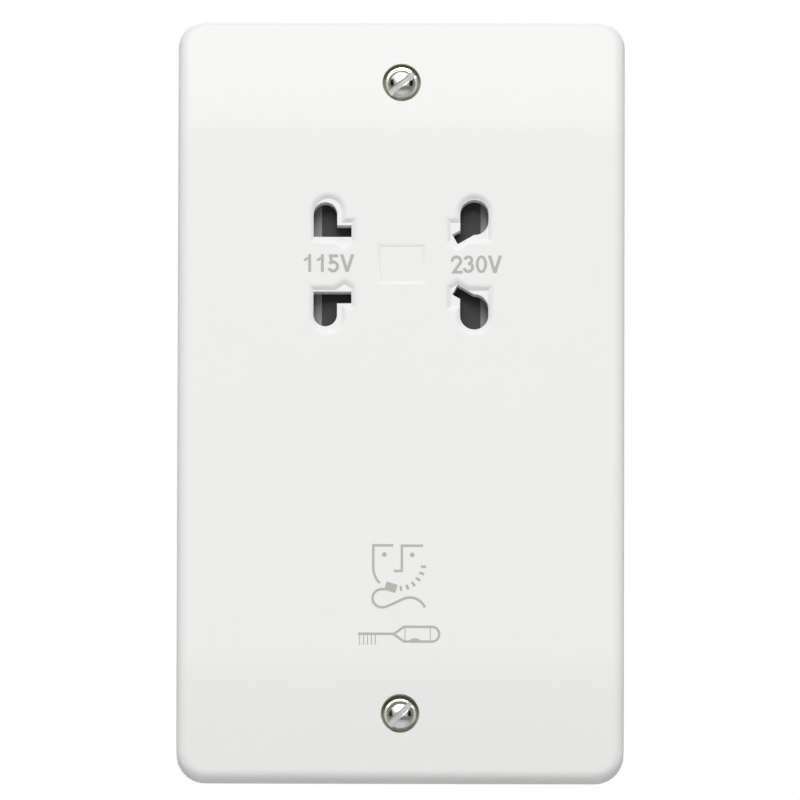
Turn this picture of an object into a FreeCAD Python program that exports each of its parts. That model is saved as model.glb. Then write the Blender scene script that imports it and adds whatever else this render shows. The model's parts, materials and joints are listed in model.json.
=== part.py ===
import FreeCAD, Part
import math
import os

from FreeCAD import Vector

# Dual voltage shaver socket on a two gang wall plate, standing upright as it is fitted.
# X runs to the right, Y runs into the wall and Z runs up. The origin is on the wall plane, midway between the
# two fixing screws. All lengths are in millimetres and all angles in degrees.

# Moulded front plate
PLATE_WIDTH = 84.7
PLATE_HEIGHT = 145.4
PLATE_DEPTH = 10.0
PLATE_WALL = 2.8
PLATE_CORNER_RADIUS = 5.5
PLATE_EDGE_RADIUS = 2.2
PLATE_LEAST_CORNER = 0.4
PLATE_RIB = 1.4
PLATE_RIB_X = 20.0
PLATE_RIB_END = -3.0
FLAT_HALF = 49.0
BEND_RADIUS = 45.0
BEND_ANGLE = 7.0
END_RADIUS = 420.0

# Fixing screws and their sunk seats
FIXING_CENTRES = 120.6
FIXING_BOSS_RADIUS = 5.2
SINK_RADIUS = 3.6
SINK_DEPTH = 1.7
SINK_CLEAR_DEPTH = 0.8
SCREW_HOLE_RADIUS = 1.9
SCREW_HEAD_RADIUS = 3.05
SCREW_SEAT_GAP = 0.05
SCREW_DOME = 0.95
SCREW_SLOT_WIDTH = 1.1
SCREW_SLOT_DEPTH = 1.0
SCREW_NECK_RADIUS = 1.55
SCREW_THREAD_RADIUS = 1.75
SCREW_REACH = 18.0
SLOT_ANGLE_TOP = 39.0
SLOT_ANGLE_BOTTOM = 46.0

# The two outlets: pin rows measured from the outlets' own centre line
OUTLET_Z = 25.4
OUTLET_X = 13.85
COLLAR_DEPTH = 2.0
BLADE_SPACING = 12.7
BLADE_SLOT_HEIGHT = 2.25
BLADE_SLOT_INNER = 9.45
BLADE_SLOT_OUTER = 16.64
EURO_SPACING = 19.0
EURO_REACH = 0.14
EURO_HOLE_RADIUS = 2.24
EURO_X = 14.4
ROUND_SPACING = 16.66
ROUND_REACH = 1.42
ROUND_HOLE_RADIUS = 2.68
ROUND_HEEL = 2.0
SLANT_SPACING = 12.6
SLANT_X = 12.78
SLANT_LENGTH = 6.0
SLANT_WIDTH = 2.1
SLANT_ANGLE = 30.0

# Funnel recess round each pin hole, as distances from the plate's middle and the outlets' centre line
RECESS_DEPTH = 0.7
RECESS_SLOPE = 0.85
RECESS_ROUND_RADIUS = 3.4
RECESS_ROUND_HEIGHT = 10.0
RECESS_STEP_HEIGHT = 8.8
RECESS_STEP_X = 8.6
RECESS_INNER_HEIGHT = 4.15
RECESS_POINT_X = 10.65
RECESS_POINT_HEIGHT = 2.85
RECESS_POINT_FOOT = 12.8
PANEL_WIDTH = 8.6
PANEL_HEIGHT = 7.4
PANEL_DEPTH = 0.25
PANEL_SLOPE = 0.4

# Sliding shutter behind the pin holes
SHUTTER_HALF_WIDTH = 16.9
SHUTTER_HALF_HEIGHT = 12.6
SHUTTER_THICKNESS = 5.0
SHUTTER_TRAVEL = 7.0
SHUTTER_GAP = 0.2
SHUTTER_RAMP = 1.85
SHUTTER_RAMP_DEPTH = 1.3
SHUTTER_WAIST = 3.4
SHUTTER_WEB = 7.6
POST_HALF_WIDTH = 1.3
POST_HALF_HEIGHT = 2.0
POST_HEIGHT = 8.0
POST_END = 10.0

# Centring spring, half in the shutter and half in the carrier
SPRING_HALF_LENGTH = 7.5
SPRING_RADIUS = 1.4
SPRING_WIRE = 0.5
SPRING_TURNS = 6
SPRING_TURN_STEPS = 8
SPRING_WIRE_SIDES = 5
SPRING_CLEAR = 0.15

# Contact carrier
CARRIER_WALL = 1.2
CARRIER_FLOOR = 2.6
CARRIER_CLEAR = 0.2
TOWER_INNER = 9.4
TOWER_OUTER = 17.4
TOWER_LOW = 3.9
TOWER_HIGH = 12.9
TOWER_WALL = 0.9
TOWER_END = 13.0
PIN_WINDOW_EDGE = 0.4

# Spring contacts for the pins
CLIP_STRIP = 0.5
CLIP_CLEAR = 0.3
CLIP_BEND = 0.9
CLIP_GRIP = 1.5
CLIP_MOUTH = 0.3
CLIP_GRIP_SHARE = 0.3
CLIP_ROOT_SHARE = 0.7
STRAP_HALF_HEIGHT = 1.6
TAG_WIDTH = 2.4
TAG_REACH = 2.5

# Plug operated switch
BRIDGE_STRIP = 0.8
BRIDGE_HALF_LENGTH = 5.5
BRIDGE_DEPTH = 4.0
BRIDGE_CLEAR = 0.04
PAD_HALF = 1.2
PAD_HEIGHT = 0.3
PAD_OFFSET = 3.8
SWITCH_STRIP = 0.4
SWITCH_GAP = 0.1
SWITCH_HALF_HEIGHT = 1.6
SWITCH_BACK = 11.0
SWITCH_FRONT = 3.2
SWITCH_BEND = 0.9

# Rear cover of the contact carrier
RETAINER_THICKNESS = 1.6

# Rear housing: shallow behind the outlets and deep round the transformer
HOUSING_WIDTH = 66.0
HOUSING_HEIGHT = 97.0
HOUSING_WALL = 2.0
HOUSING_SHALLOW = 22.0
HOUSING_DEEP = 37.0
HOUSING_STEP_Z = 4.5
HOUSING_CORNER_RADIUS = 3.0
HOUSING_EDGE_CHAMFER = 1.0

# Assembly screws that hold the housing to the plate
ASSEMBLY_BOSS_HALF = 2.6
ASSEMBLY_BOSS_CLEAR = 0.35
ASSEMBLY_BLOCK_WALL = 1.0
ASSEMBLY_BLOCK_CHAMFER = 2.5
ASSEMBLY_PILOT_RADIUS = 1.25
ASSEMBLY_HOLE_RADIUS = 1.7
ASSEMBLY_SINK_RADIUS = 2.9
ASSEMBLY_SEAT_Y = 4.0
ASSEMBLY_HEAD_RADIUS = 2.6
ASSEMBLY_HEAD_HEIGHT = 1.8
ASSEMBLY_SHANK_RADIUS = 1.2
ASSEMBLY_SHANK_END = -6.0
ASSEMBLY_SLOT_WIDTH = 0.8
ASSEMBLY_SLOT_DEPTH = 0.9

# Supply terminals on the back of the shallow part
TERMINAL_PITCH = 15.0
TERMINAL_INSET = 12.5
TERMINAL_WIDTH = 8.6
TERMINAL_HEIGHT = 9.6
TERMINAL_DEPTH = 9.0
TERMINAL_BORE_RADIUS = 2.1
TERMINAL_BORE_DEPTH = 4.2
TERMINAL_CLEAR = 0.2
TERMINAL_THREAD_RADIUS = 1.6
TERMINAL_SCREW_RADIUS = 1.5
TERMINAL_HEAD_RADIUS = 2.6
TERMINAL_HEAD_HEIGHT = 1.8
TERMINAL_HEAD_LIFT = 0.3
TERMINAL_SLOT_WIDTH = 0.9
TERMINAL_SLOT_DEPTH = 0.9
SHROUD_WALL = 1.5
SHROUD_DEPTH = 11.0
TERMINAL_TAG_LENGTH = 5.0
TERMINAL_TAG_STRIP = 0.8
TERMINAL_TAG_WIDTH = 3.0

# Isolating transformer: stacked E and I laminations round a split bobbin
CORE_WIDTH = 48.0
CORE_LEG = 16.0
CORE_WINDOW = 8.0
CORE_STACK = 16.0
CORE_Z = -22.0
CORE_Y = 16.0
BOBBIN_CLEAR = 0.2
BOBBIN_WALL = 1.0
BOBBIN_FLANGE = 1.0
BOBBIN_OVERHANG = 7.8
WINDING_CLEAR = 0.05
WINDING_DEPTH = 5.9
WINDING_CORNER = 2.5
TAPE_THICKNESS = 0.3
CORE_RIB = 2.0
CORE_RIB_X = 20.0
CORE_RIB_EDGE = 2.0

# Self resetting overload cut out on the primary winding
CUTOUT_WIDTH = 14.0
CUTOUT_HEIGHT = 7.0
CUTOUT_THICKNESS = 3.0
CUTOUT_GAP = 0.1
CUTOUT_CORNER = 0.8

# Places worked out from the sizes above
INNER_Y = PLATE_WALL - PLATE_DEPTH
HOLE_END_Y = INNER_Y + COLLAR_DEPTH
SHUTTER_FRONT_Y = HOLE_END_Y + SHUTTER_GAP
SHUTTER_BACK_Y = SHUTTER_FRONT_Y + SHUTTER_THICKNESS
FLOOR_FRONT_Y = SHUTTER_BACK_Y + SHUTTER_GAP
FLOOR_BACK_Y = FLOOR_FRONT_Y + CARRIER_FLOOR
RETAINER_BACK_Y = TOWER_END + RETAINER_THICKNESS
CHANNEL_HALF_WIDTH = SHUTTER_HALF_WIDTH + SHUTTER_TRAVEL + CARRIER_CLEAR
CHANNEL_HALF_HEIGHT = SHUTTER_HALF_HEIGHT + CARRIER_CLEAR
CARRIER_HALF_WIDTH = CHANNEL_HALF_WIDTH + CARRIER_WALL
CARRIER_HALF_HEIGHT = CHANNEL_HALF_HEIGHT + CARRIER_WALL
LEG_LENGTH = CORE_WIDTH - CORE_LEG - CORE_WINDOW
CORE_HEIGHT = LEG_LENGTH + 2 * CORE_WINDOW
CORE_TOP = CORE_Z + CORE_HEIGHT / 2
CORE_BOTTOM = CORE_Z - CORE_HEIGHT / 2
ASSEMBLY_INSET = HOUSING_WALL + ASSEMBLY_BOSS_CLEAR + ASSEMBLY_BOSS_HALF
ASSEMBLY_X = HOUSING_WIDTH / 2 - ASSEMBLY_INSET
ASSEMBLY_Z = HOUSING_HEIGHT / 2 - ASSEMBLY_INSET
TERMINAL_Z = HOUSING_HEIGHT / 2 - TERMINAL_INSET
CORE_FRONT = CORE_Y - CORE_STACK / 2
CORE_BACK = CORE_Y + CORE_STACK / 2

AXIS_X = Vector(1, 0, 0)
AXIS_Y = Vector(0, 1, 0)
AXIS_Z = Vector(0, 0, 1)
FAR = 400.0
EDGE_TOLERANCE = 0.01
FACING_SHARE = 0.7


# Shapes that many pieces share
def box(x0, x1, y0, y1, z0, z1):
    """Block between two corners, given as low and high values on each axis."""
    return Part.makeBox(x1 - x0, y1 - y0, z1 - z0, Vector(x0, y0, z0))


def rod_y(x, z, radius, y0, y1):
    """Round bar along Y."""
    return Part.makeCylinder(radius, y1 - y0, Vector(x, y0, z), AXIS_Y)


def rod_x(y, z, radius, x0, x1):
    """Round bar along X."""
    return Part.makeCylinder(radius, x1 - x0, Vector(x0, y, z), AXIS_X)


def turned_y(profile, x, z):
    """Solid of revolution about a line along Y, from a closed profile of (radius, y) corners."""
    corners = [Vector(radius, y, 0) for radius, y in profile]
    face = Part.Face(Part.makePolygon(corners + corners[:1]))
    solid = face.revolve(Vector(0, 0, 0), AXIS_Y, 360)
    solid.translate(Vector(x, 0, z))
    return solid


def rounded_outline(half_width, half_height, radius, y):
    """Rounded rectangle in the plane at y, centred on the Y axis."""
    corners = ((1, 1, 0), (-1, 1, 90), (-1, -1, 180), (1, -1, 270))
    arcs = []
    for side_x, side_z, start in corners:
        centre = Vector(side_x * (half_width - radius), y, side_z * (half_height - radius))
        points = [
            centre + Vector(math.cos(math.radians(a)), 0, math.sin(math.radians(a))) * radius
            for a in (start, start + 45, start + 90)
        ]
        arcs.append(Part.Arc(*points).toShape())
    edges = []
    for here, after in zip(arcs, arcs[1:] + arcs[:1]):
        edges.append(here)
        edges.append(Part.makeLine(here.Vertexes[-1].Point, after.Vertexes[0].Point))
    return Part.Wire(edges)


def rounded_block(half_width, half_height, radius, y0, y1, centre_z=0.0):
    """Block with rounded upright corners, between two planes across Y."""
    block = Part.Face(rounded_outline(half_width, half_height, radius, y0)).extrude(AXIS_Y * (y1 - y0))
    block.translate(Vector(0, 0, centre_z))
    return block


def path_runs(points):
    """Directions of the straight runs along a path."""
    return [(b - a).normalize() for a, b in zip(points, points[1:])]


def moved_path(points, offset):
    """Corners of a flat path moved sideways to its left, with every run kept parallel."""
    normals = [Vector(-run.y, run.x, 0) for run in path_runs(points)]
    corners = [points[0] + normals[0] * offset]
    for point, before, after in zip(points[1:-1], normals, normals[1:]):
        corners.append(point + (before + after) * (offset / (1 + before.dot(after))))
    corners.append(points[-1] + normals[-1] * offset)
    return corners


def strip_side(points, offset, bend):
    """One side of a folded strip: the path moved sideways, with each corner rounded to suit."""
    runs = path_runs(points)
    corners = moved_path(points, offset)
    edges, start = [], corners[0]
    for corner, before, after in zip(corners[1:-1], runs, runs[1:]):
        turn = before.x * after.y - before.y * after.x
        radius = bend - math.copysign(offset, turn)
        half_turn = before.getAngle(after) / 2
        setback = radius * math.tan(half_turn)
        arc_in, arc_out = corner - before * setback, corner + after * setback
        inward = (after - before).normalize()
        middle = corner + inward * (radius / math.cos(half_turn) - radius)
        edges.append(Part.makeLine(start, arc_in))
        edges.append(Part.Arc(arc_in, middle, arc_out).toShape())
        start = arc_out
    edges.append(Part.makeLine(start, corners[-1]))
    return edges


def folded_strip(path, thickness, bend, width):
    """Sheet metal strip folded along a path of (across, along) points, then given its width along +Z."""
    points = [Vector(across, along, 0) for across, along in path]
    left = strip_side(points, thickness / 2, bend)
    right = strip_side(points, -thickness / 2, bend)
    caps = [
        Part.makeLine(right[0].Vertexes[0].Point, left[0].Vertexes[0].Point),
        Part.makeLine(right[-1].Vertexes[-1].Point, left[-1].Vertexes[-1].Point),
    ]
    outline = Part.Wire(Part.__sortEdges__(left + right + caps))
    return Part.Face(outline).extrude(AXIS_Z * width)


def fuse_all(shapes):
    """One solid from several that touch or overlap."""
    return shapes[0].multiFuse(shapes[1:]).removeSplitter()


# Front plate
def front_height(z, inset=0.0):
    """Y of the plate's front surface, or of a surface that far behind it, at a height z."""
    z = abs(z)
    bend, sweep = BEND_RADIUS - inset, END_RADIUS - inset
    angle = math.radians(BEND_ANGLE)
    bend_end = FLAT_HALF + bend * math.sin(angle)
    if z <= FLAT_HALF:
        return inset - PLATE_DEPTH
    if z <= bend_end:
        return BEND_RADIUS - PLATE_DEPTH - math.sqrt(bend**2 - (z - FLAT_HALF) ** 2)
    sweep_z = FLAT_HALF + (bend - sweep) * math.sin(angle)
    sweep_y = BEND_RADIUS - PLATE_DEPTH - (bend - sweep) * math.cos(angle)
    return sweep_y - math.sqrt(sweep**2 - (z - sweep_z) ** 2)


def front_slab(inset):
    """Block behind the front surface: flat in the middle, bent back and gently curved at both ends."""
    end_z = PLATE_HEIGHT / 2
    bend_end = FLAT_HALF + (BEND_RADIUS - inset) * math.sin(math.radians(BEND_ANGLE))
    bend_middle = FLAT_HALF + (BEND_RADIUS - inset) * math.sin(math.radians(BEND_ANGLE / 2))
    start_x = -PLATE_WIDTH / 2

    def point(z):
        return Vector(start_x, front_height(z, inset), z)

    edges = [Part.makeLine(point(-FLAT_HALF), point(FLAT_HALF))]
    for side in (1, -1):
        bend = [point(side * z) for z in (FLAT_HALF, bend_middle, bend_end)]
        sweep = [point(side * z) for z in (bend_end, (bend_end + end_z) / 2, end_z)]
        edges += [Part.Arc(*bend).toShape(), Part.Arc(*sweep).toShape()]
        edges.append(Part.makeLine(point(side * end_z), Vector(start_x, 0, side * end_z)))
    edges.append(Part.makeLine(Vector(start_x, 0, -end_z), Vector(start_x, 0, end_z)))
    return Part.Face(Part.Wire(Part.__sortEdges__(edges))).extrude(AXIS_X * PLATE_WIDTH)


def plate_block(inset):
    """Solid plate, or the hollow behind it: the front slab inside upright walls with rounded corners."""
    radius = max(PLATE_CORNER_RADIUS - inset, PLATE_LEAST_CORNER)
    half_width, half_height = PLATE_WIDTH / 2 - inset, PLATE_HEIGHT / 2 - inset
    return rounded_block(half_width, half_height, radius, -PLATE_DEPTH, 0).common(front_slab(inset))


def round_front_edge(block):
    """Rounds the edge all round the plate's front."""
    rim = []
    for edge in block.Edges:
        sides = block.ancestorsOfType(edge, Part.Face)
        facing = [abs(face.normalAt(*middle_of(face)).y) > FACING_SHARE for face in sides]
        if sorted(facing) == [False, True] and max(v.Y for v in edge.Vertexes) < -PLATE_EDGE_RADIUS:
            rim.append(edge)
    return block.makeFillet(PLATE_EDGE_RADIUS, rim)


def middle_of(face):
    """Parameters of the middle of a face."""
    u0, u1, v0, v1 = face.ParameterRange
    return (u0 + u1) / 2, (v0 + v1) / 2


def outlet_plane(side, row, points):
    """Points on the plate's front, from distances to its middle and to the outlets' centre line."""
    return [Vector(side * across, -PLATE_DEPTH, OUTLET_Z + row * along) for across, along in points]


def recess_outline(side, row, inset, depth):
    """Outline of the funnel recess round one pin hole, or of its floor when set in and lowered."""
    outer = OUTLET_X + RECESS_ROUND_RADIUS
    inner = OUTLET_X - RECESS_ROUND_RADIUS
    path = [
        (inner, RECESS_ROUND_HEIGHT),
        (inner, RECESS_STEP_HEIGHT),
        (RECESS_STEP_X, RECESS_STEP_HEIGHT),
        (RECESS_STEP_X, RECESS_INNER_HEIGHT),
        (RECESS_POINT_X, RECESS_POINT_HEIGHT),
        (RECESS_POINT_FOOT, RECESS_INNER_HEIGHT),
        (outer, RECESS_INNER_HEIGHT),
        (outer, RECESS_ROUND_HEIGHT),
    ]
    moved = moved_path([Vector(across, along, 0) for across, along in path], inset)
    crown = (OUTLET_X, RECESS_ROUND_HEIGHT + RECESS_ROUND_RADIUS - inset)
    corners = outlet_plane(side, row, [(point.x, point.y) for point in moved] + [crown])
    *corners, crown = [corner + AXIS_Y * depth for corner in corners]
    lines = [Part.makeLine(a, b) for a, b in zip(corners, corners[1:])]
    return Part.Wire(lines + [Part.Arc(corners[-1], crown, corners[0]).toShape()])


def recess_cut(side, row):
    """Funnel recess: sloping sides down to a flat floor."""
    mouth = recess_outline(side, row, 0.0, 0.0)
    floor = recess_outline(side, row, RECESS_SLOPE, RECESS_DEPTH)
    return Part.makeLoft([mouth, floor], True, True)


def panel_cut():
    """Shallow bare panel between the outlets, with sloping edges."""
    outlines = []
    for inset, depth in ((0.0, 0.0), (PANEL_SLOPE, PANEL_DEPTH)):
        x, z = PANEL_WIDTH / 2 - inset, PANEL_HEIGHT / 2 - inset
        corners = outlet_plane(1, 1, [(-x, -z), (x, -z), (x, z), (-x, z)])
        corners = [corner + AXIS_Y * depth for corner in corners]
        outlines.append(Part.makePolygon(corners + corners[:1]))
    return Part.makeLoft(outlines, True, True)


def through(side, row, face_points):
    """Prism right through the plate's wall and the collar behind it, from straight sided corners."""
    corners = outlet_plane(side, row, face_points)
    return Part.Face(Part.makePolygon(corners + corners[:1])).extrude(AXIS_Y * (PLATE_WALL + COLLAR_DEPTH))


def round_slot(side, row, across, low, high, radius):
    """Round ended pin hole through the plate, between two pin positions."""
    ends = [
        rod_y(side * across, OUTLET_Z + row * along, radius, -PLATE_DEPTH, HOLE_END_Y)
        for along in (low, high)
    ]
    middle = [
        (across - radius, low),
        (across + radius, low),
        (across + radius, high),
        (across - radius, high),
    ]
    return ends + [through(side, row, middle)]


def low_voltage_hole(side, row):
    """Hole of the 115 volt outlet: a flat blade slot joined to a hole for slim round pins."""
    low = (BLADE_SPACING - BLADE_SLOT_HEIGHT) / 2
    high = (BLADE_SPACING + BLADE_SLOT_HEIGHT) / 2
    blade = [
        (BLADE_SLOT_INNER, low),
        (BLADE_SLOT_OUTER, low),
        (BLADE_SLOT_OUTER, high),
        (BLADE_SLOT_INNER, high),
    ]
    inner, outer = EURO_X - EURO_HOLE_RADIUS, EURO_X + EURO_HOLE_RADIUS
    end_height = EURO_SPACING / 2 + EURO_REACH
    pin = [(inner, low), (outer, low), (outer, end_height), (inner, end_height)]
    end = rod_y(side * EURO_X, OUTLET_Z + row * end_height, EURO_HOLE_RADIUS, -PLATE_DEPTH, HOLE_END_Y)
    return fuse_all([through(side, row, blade), through(side, row, pin), end])


def high_voltage_hole(side, row):
    """Hole of the 230 volt outlet: a slanting blade slot joined to a hole for thick round pins."""
    low = ROUND_SPACING / 2
    pin = round_slot(side, row, OUTLET_X, low, low + ROUND_REACH, ROUND_HOLE_RADIUS)
    angle = math.radians(SLANT_ANGLE)
    along = Vector(math.cos(angle), math.sin(angle), 0) * (SLANT_LENGTH / 2)
    over = Vector(-math.sin(angle), math.cos(angle), 0) * (SLANT_WIDTH / 2)
    middle = Vector(SLANT_X, SLANT_SPACING / 2, 0)
    corners = [middle - along - over, middle + along - over, middle + along + over, middle - along + over]
    heel = [
        (OUTLET_X - ROUND_HOLE_RADIUS, low - ROUND_HEEL),
        (OUTLET_X, low - ROUND_HEEL),
        (OUTLET_X, low),
        (OUTLET_X - ROUND_HOLE_RADIUS, low),
    ]
    return fuse_all(pin + [through(side, row, heel), through(side, row, [(c.x, c.y) for c in corners])])


def fixing_sink(z):
    """Sunk hole for one fixing screw, cut from the front to the wall plane."""
    seat = front_height(z) + SINK_DEPTH
    profile = [
        (0, -PLATE_DEPTH),
        (SINK_RADIUS, -PLATE_DEPTH),
        (SINK_RADIUS, seat + SINK_CLEAR_DEPTH),
        (SCREW_HEAD_RADIUS - SINK_CLEAR_DEPTH, seat + SINK_CLEAR_DEPTH),
        (SCREW_HOLE_RADIUS, seat + SCREW_HEAD_RADIUS - SCREW_HOLE_RADIUS),
        (SCREW_HOLE_RADIUS, 0),
        (0, 0),
    ]
    return turned_y(profile, 0, z)


def assembly_places():
    """Middles of the four screws that hold the housing to the plate."""
    return [(x, z) for x in (-ASSEMBLY_X, ASSEMBLY_X) for z in (-ASSEMBLY_Z, ASSEMBLY_Z)]


def core_ribs(y0, y1):
    """Pair of upright ribs that grip the transformer core from the front or the back."""
    half = CORE_RIB / 2
    low, high = CORE_BOTTOM + CORE_RIB_EDGE, CORE_TOP - CORE_RIB_EDGE
    return [box(x - half, x + half, y0, y1, low, high) for x in (-CORE_RIB_X, CORE_RIB_X)]


def end_ribs():
    """Upright stiffening ribs on the plate's back, between the housing and the ends of the plate."""
    half = PLATE_RIB / 2
    low, high = HOUSING_HEIGHT / 2 + ASSEMBLY_BOSS_CLEAR, PLATE_HEIGHT / 2 - PLATE_WALL / 2
    ribs = []
    for x in (-PLATE_RIB_X, PLATE_RIB_X):
        for z0, z1 in ((low, high), (-high, -low)):
            ribs.append(box(x - half, x + half, -PLATE_DEPTH, PLATE_RIB_END, z0, z1))
    return ribs


def hole_collars():
    """Collars on the plate's back that lead the pins and carry the contact carrier."""
    wall = TOWER_WALL
    reach = (TOWER_INNER - wall, TOWER_OUTER + wall, TOWER_LOW - wall, TOWER_HIGH + wall)
    return [outlet_box(side, row, *reach, INNER_Y, HOLE_END_Y) for side in (-1, 1) for row in (-1, 1)]


def front_plate():
    """Moulded cover with the pin holes, sunk screw holes, and the bosses and ribs on its back."""
    solid = round_front_edge(plate_block(0.0))
    shell = solid.cut(plate_block(PLATE_WALL))
    fixings = (FIXING_CENTRES / 2, -FIXING_CENTRES / 2)
    bosses = [rod_y(0, z, FIXING_BOSS_RADIUS, -PLATE_DEPTH, 0).common(solid) for z in fixings]
    half = ASSEMBLY_BOSS_HALF
    bosses += [box(x - half, x + half, INNER_Y, 0, z - half, z + half) for x, z in assembly_places()]
    ribs = [rib.common(solid) for rib in end_ribs()] + core_ribs(INNER_Y, CORE_FRONT)
    plate = fuse_all([shell] + bosses + ribs + hole_collars())
    cuts = [fixing_sink(z) for z in fixings]
    cuts += [rod_y(x, z, ASSEMBLY_PILOT_RADIUS, INNER_Y, 0) for x, z in assembly_places()]
    for row in (1, -1):
        cuts += [low_voltage_hole(-1, row), high_voltage_hole(1, row)]
        cuts += [recess_cut(side, row) for side in (-1, 1)]
    return plate.cut(cuts + [panel_cut()])


# Fixing screws
def fixing_screw(z, slot_angle):
    """Slotted screw with a raised countersunk head, a plain neck in the plate and a threaded shank."""
    rim = front_height(z) + SINK_DEPTH - SCREW_SEAT_GAP
    crown = rim - SCREW_DOME
    dome_radius = (SCREW_HEAD_RADIUS**2 + SCREW_DOME**2) / (2 * SCREW_DOME)
    neck = rim + SCREW_HEAD_RADIUS - SCREW_NECK_RADIUS
    profile = [
        (0, crown),
        (SCREW_HEAD_RADIUS, crown),
        (SCREW_HEAD_RADIUS, rim),
        (SCREW_NECK_RADIUS, neck),
        (SCREW_NECK_RADIUS, 0),
        (SCREW_THREAD_RADIUS, 0),
        (SCREW_THREAD_RADIUS, SCREW_REACH),
        (0, SCREW_REACH),
    ]
    blank = turned_y(profile, 0, z)
    dome = Part.makeSphere(dome_radius, Vector(0, crown + dome_radius, z))
    body = rod_y(0, z, SCREW_HEAD_RADIUS, crown + SCREW_DOME, SCREW_REACH)
    screw = blank.common(dome.fuse(body))
    slot = box(-FAR, FAR, crown, crown + SCREW_SLOT_DEPTH, -SCREW_SLOT_WIDTH / 2, SCREW_SLOT_WIDTH / 2)
    slot.rotate(Vector(0, 0, 0), AXIS_Y, -slot_angle)
    slot.translate(Vector(0, 0, z))
    return screw.cut(slot)


def fixing_screws():
    """The two screws that hold the plate to the wall box."""
    half = FIXING_CENTRES / 2
    return Part.makeCompound([fixing_screw(half, SLOT_ANGLE_TOP), fixing_screw(-half, SLOT_ANGLE_BOTTOM)])


# Shutter, its spring and the moving switch contact
def shutter():
    """Sliding shutter, ramped at both ends so that pins push it aside, with a post for the switch."""
    flat_end = SHUTTER_HALF_WIDTH - SHUTTER_RAMP
    section = [
        (-flat_end, SHUTTER_FRONT_Y),
        (flat_end, SHUTTER_FRONT_Y),
        (SHUTTER_HALF_WIDTH, SHUTTER_FRONT_Y + SHUTTER_RAMP_DEPTH),
        (SHUTTER_HALF_WIDTH, SHUTTER_BACK_Y),
        (-SHUTTER_HALF_WIDTH, SHUTTER_BACK_Y),
        (-SHUTTER_HALF_WIDTH, SHUTTER_FRONT_Y + SHUTTER_RAMP_DEPTH),
    ]
    corners = [Vector(x, y, OUTLET_Z - SHUTTER_HALF_HEIGHT) for x, y in section]
    face = Part.Face(Part.makePolygon(corners + corners[:1]))
    body = face.extrude(AXIS_Z * (2 * SHUTTER_HALF_HEIGHT))
    post_z = OUTLET_Z + POST_HEIGHT
    post = box(
        -POST_HALF_WIDTH,
        POST_HALF_WIDTH,
        SHUTTER_BACK_Y,
        POST_END,
        post_z - POST_HALF_HEIGHT,
        post_z + POST_HALF_HEIGHT,
    )
    cuts = []
    for side in (-1, 1):
        inner, outer = sorted((side * SHUTTER_WEB, side * SHUTTER_HALF_WIDTH))
        waist = (OUTLET_Z - SHUTTER_WAIST, OUTLET_Z + SHUTTER_WAIST)
        cuts.append(box(inner, outer, SHUTTER_FRONT_Y, SHUTTER_BACK_Y, *waist))
    half_strip = BRIDGE_STRIP / 2 + BRIDGE_CLEAR
    cuts.append(box(-half_strip, half_strip, bridge_front(), POST_END, OUTLET_Z, OUTLET_Z + FAR))
    cuts.append(spring_groove())
    return body.fuse(post).cut(cuts).removeSplitter()


def spring_middle_y():
    """Y of the centring spring's axis, midway between the shutter and the carrier."""
    return (SHUTTER_BACK_Y + FLOOR_FRONT_Y) / 2


def spring_groove():
    """Trough for half of the centring spring, cut into the shutter or the carrier."""
    half = SPRING_HALF_LENGTH + SPRING_CLEAR
    radius = SPRING_RADIUS + SPRING_WIRE / 2 + SPRING_CLEAR
    return rod_x(spring_middle_y(), OUTLET_Z, radius, -half, half)


def spring_section(angle, along):
    """Outline of the spring's wire where its coil has turned by an angle, at a distance along the spring."""
    outward = Vector(0, math.cos(angle), math.sin(angle))
    middle = Vector(along, spring_middle_y(), OUTLET_Z) + outward * SPRING_RADIUS
    corners = []
    for step in range(SPRING_WIRE_SIDES):
        turn = 2 * math.pi * step / SPRING_WIRE_SIDES
        corners.append(middle + (outward * math.cos(turn) + AXIS_X * math.sin(turn)) * (SPRING_WIRE / 2))
    return Part.makePolygon(corners + corners[:1])


def centring_spring():
    """Coil spring that pushes the shutter back to the middle from either side."""
    length = 2 * SPRING_HALF_LENGTH - SPRING_WIRE
    steps = SPRING_TURNS * SPRING_TURN_STEPS
    sections = []
    for step in range(steps + 1):
        angle = 2 * math.pi * step / SPRING_TURN_STEPS
        sections.append(spring_section(angle, length * (step / steps - 1 / 2)))
    return Part.makeLoft(sections, True, True)


def bridge_front():
    """Y of the front edge of the moving switch contact."""
    return POST_END - BRIDGE_DEPTH


def switch_bridge():
    """Contact bar held in the shutter's post, with a pad on both faces at each end."""
    middle_z = OUTLET_Z + POST_HEIGHT
    half_strip = BRIDGE_STRIP / 2
    bar = box(
        -half_strip,
        half_strip,
        bridge_front() + BRIDGE_CLEAR,
        POST_END,
        middle_z - BRIDGE_HALF_LENGTH,
        middle_z + BRIDGE_HALF_LENGTH,
    )
    reach = half_strip + PAD_HEIGHT
    return fuse_all([bar] + [contact_pad(-reach, reach, row) for row in (-1, 1)])


def contact_pad(x0, x1, row):
    """Silver pad between two distances across, level with the upper or lower end of the moving bar."""
    middle_y = POST_END - BRIDGE_DEPTH / 2
    middle_z = OUTLET_Z + POST_HEIGHT + row * PAD_OFFSET
    return box(x0, x1, middle_y - PAD_HALF, middle_y + PAD_HALF, middle_z - PAD_HALF, middle_z + PAD_HALF)


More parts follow.
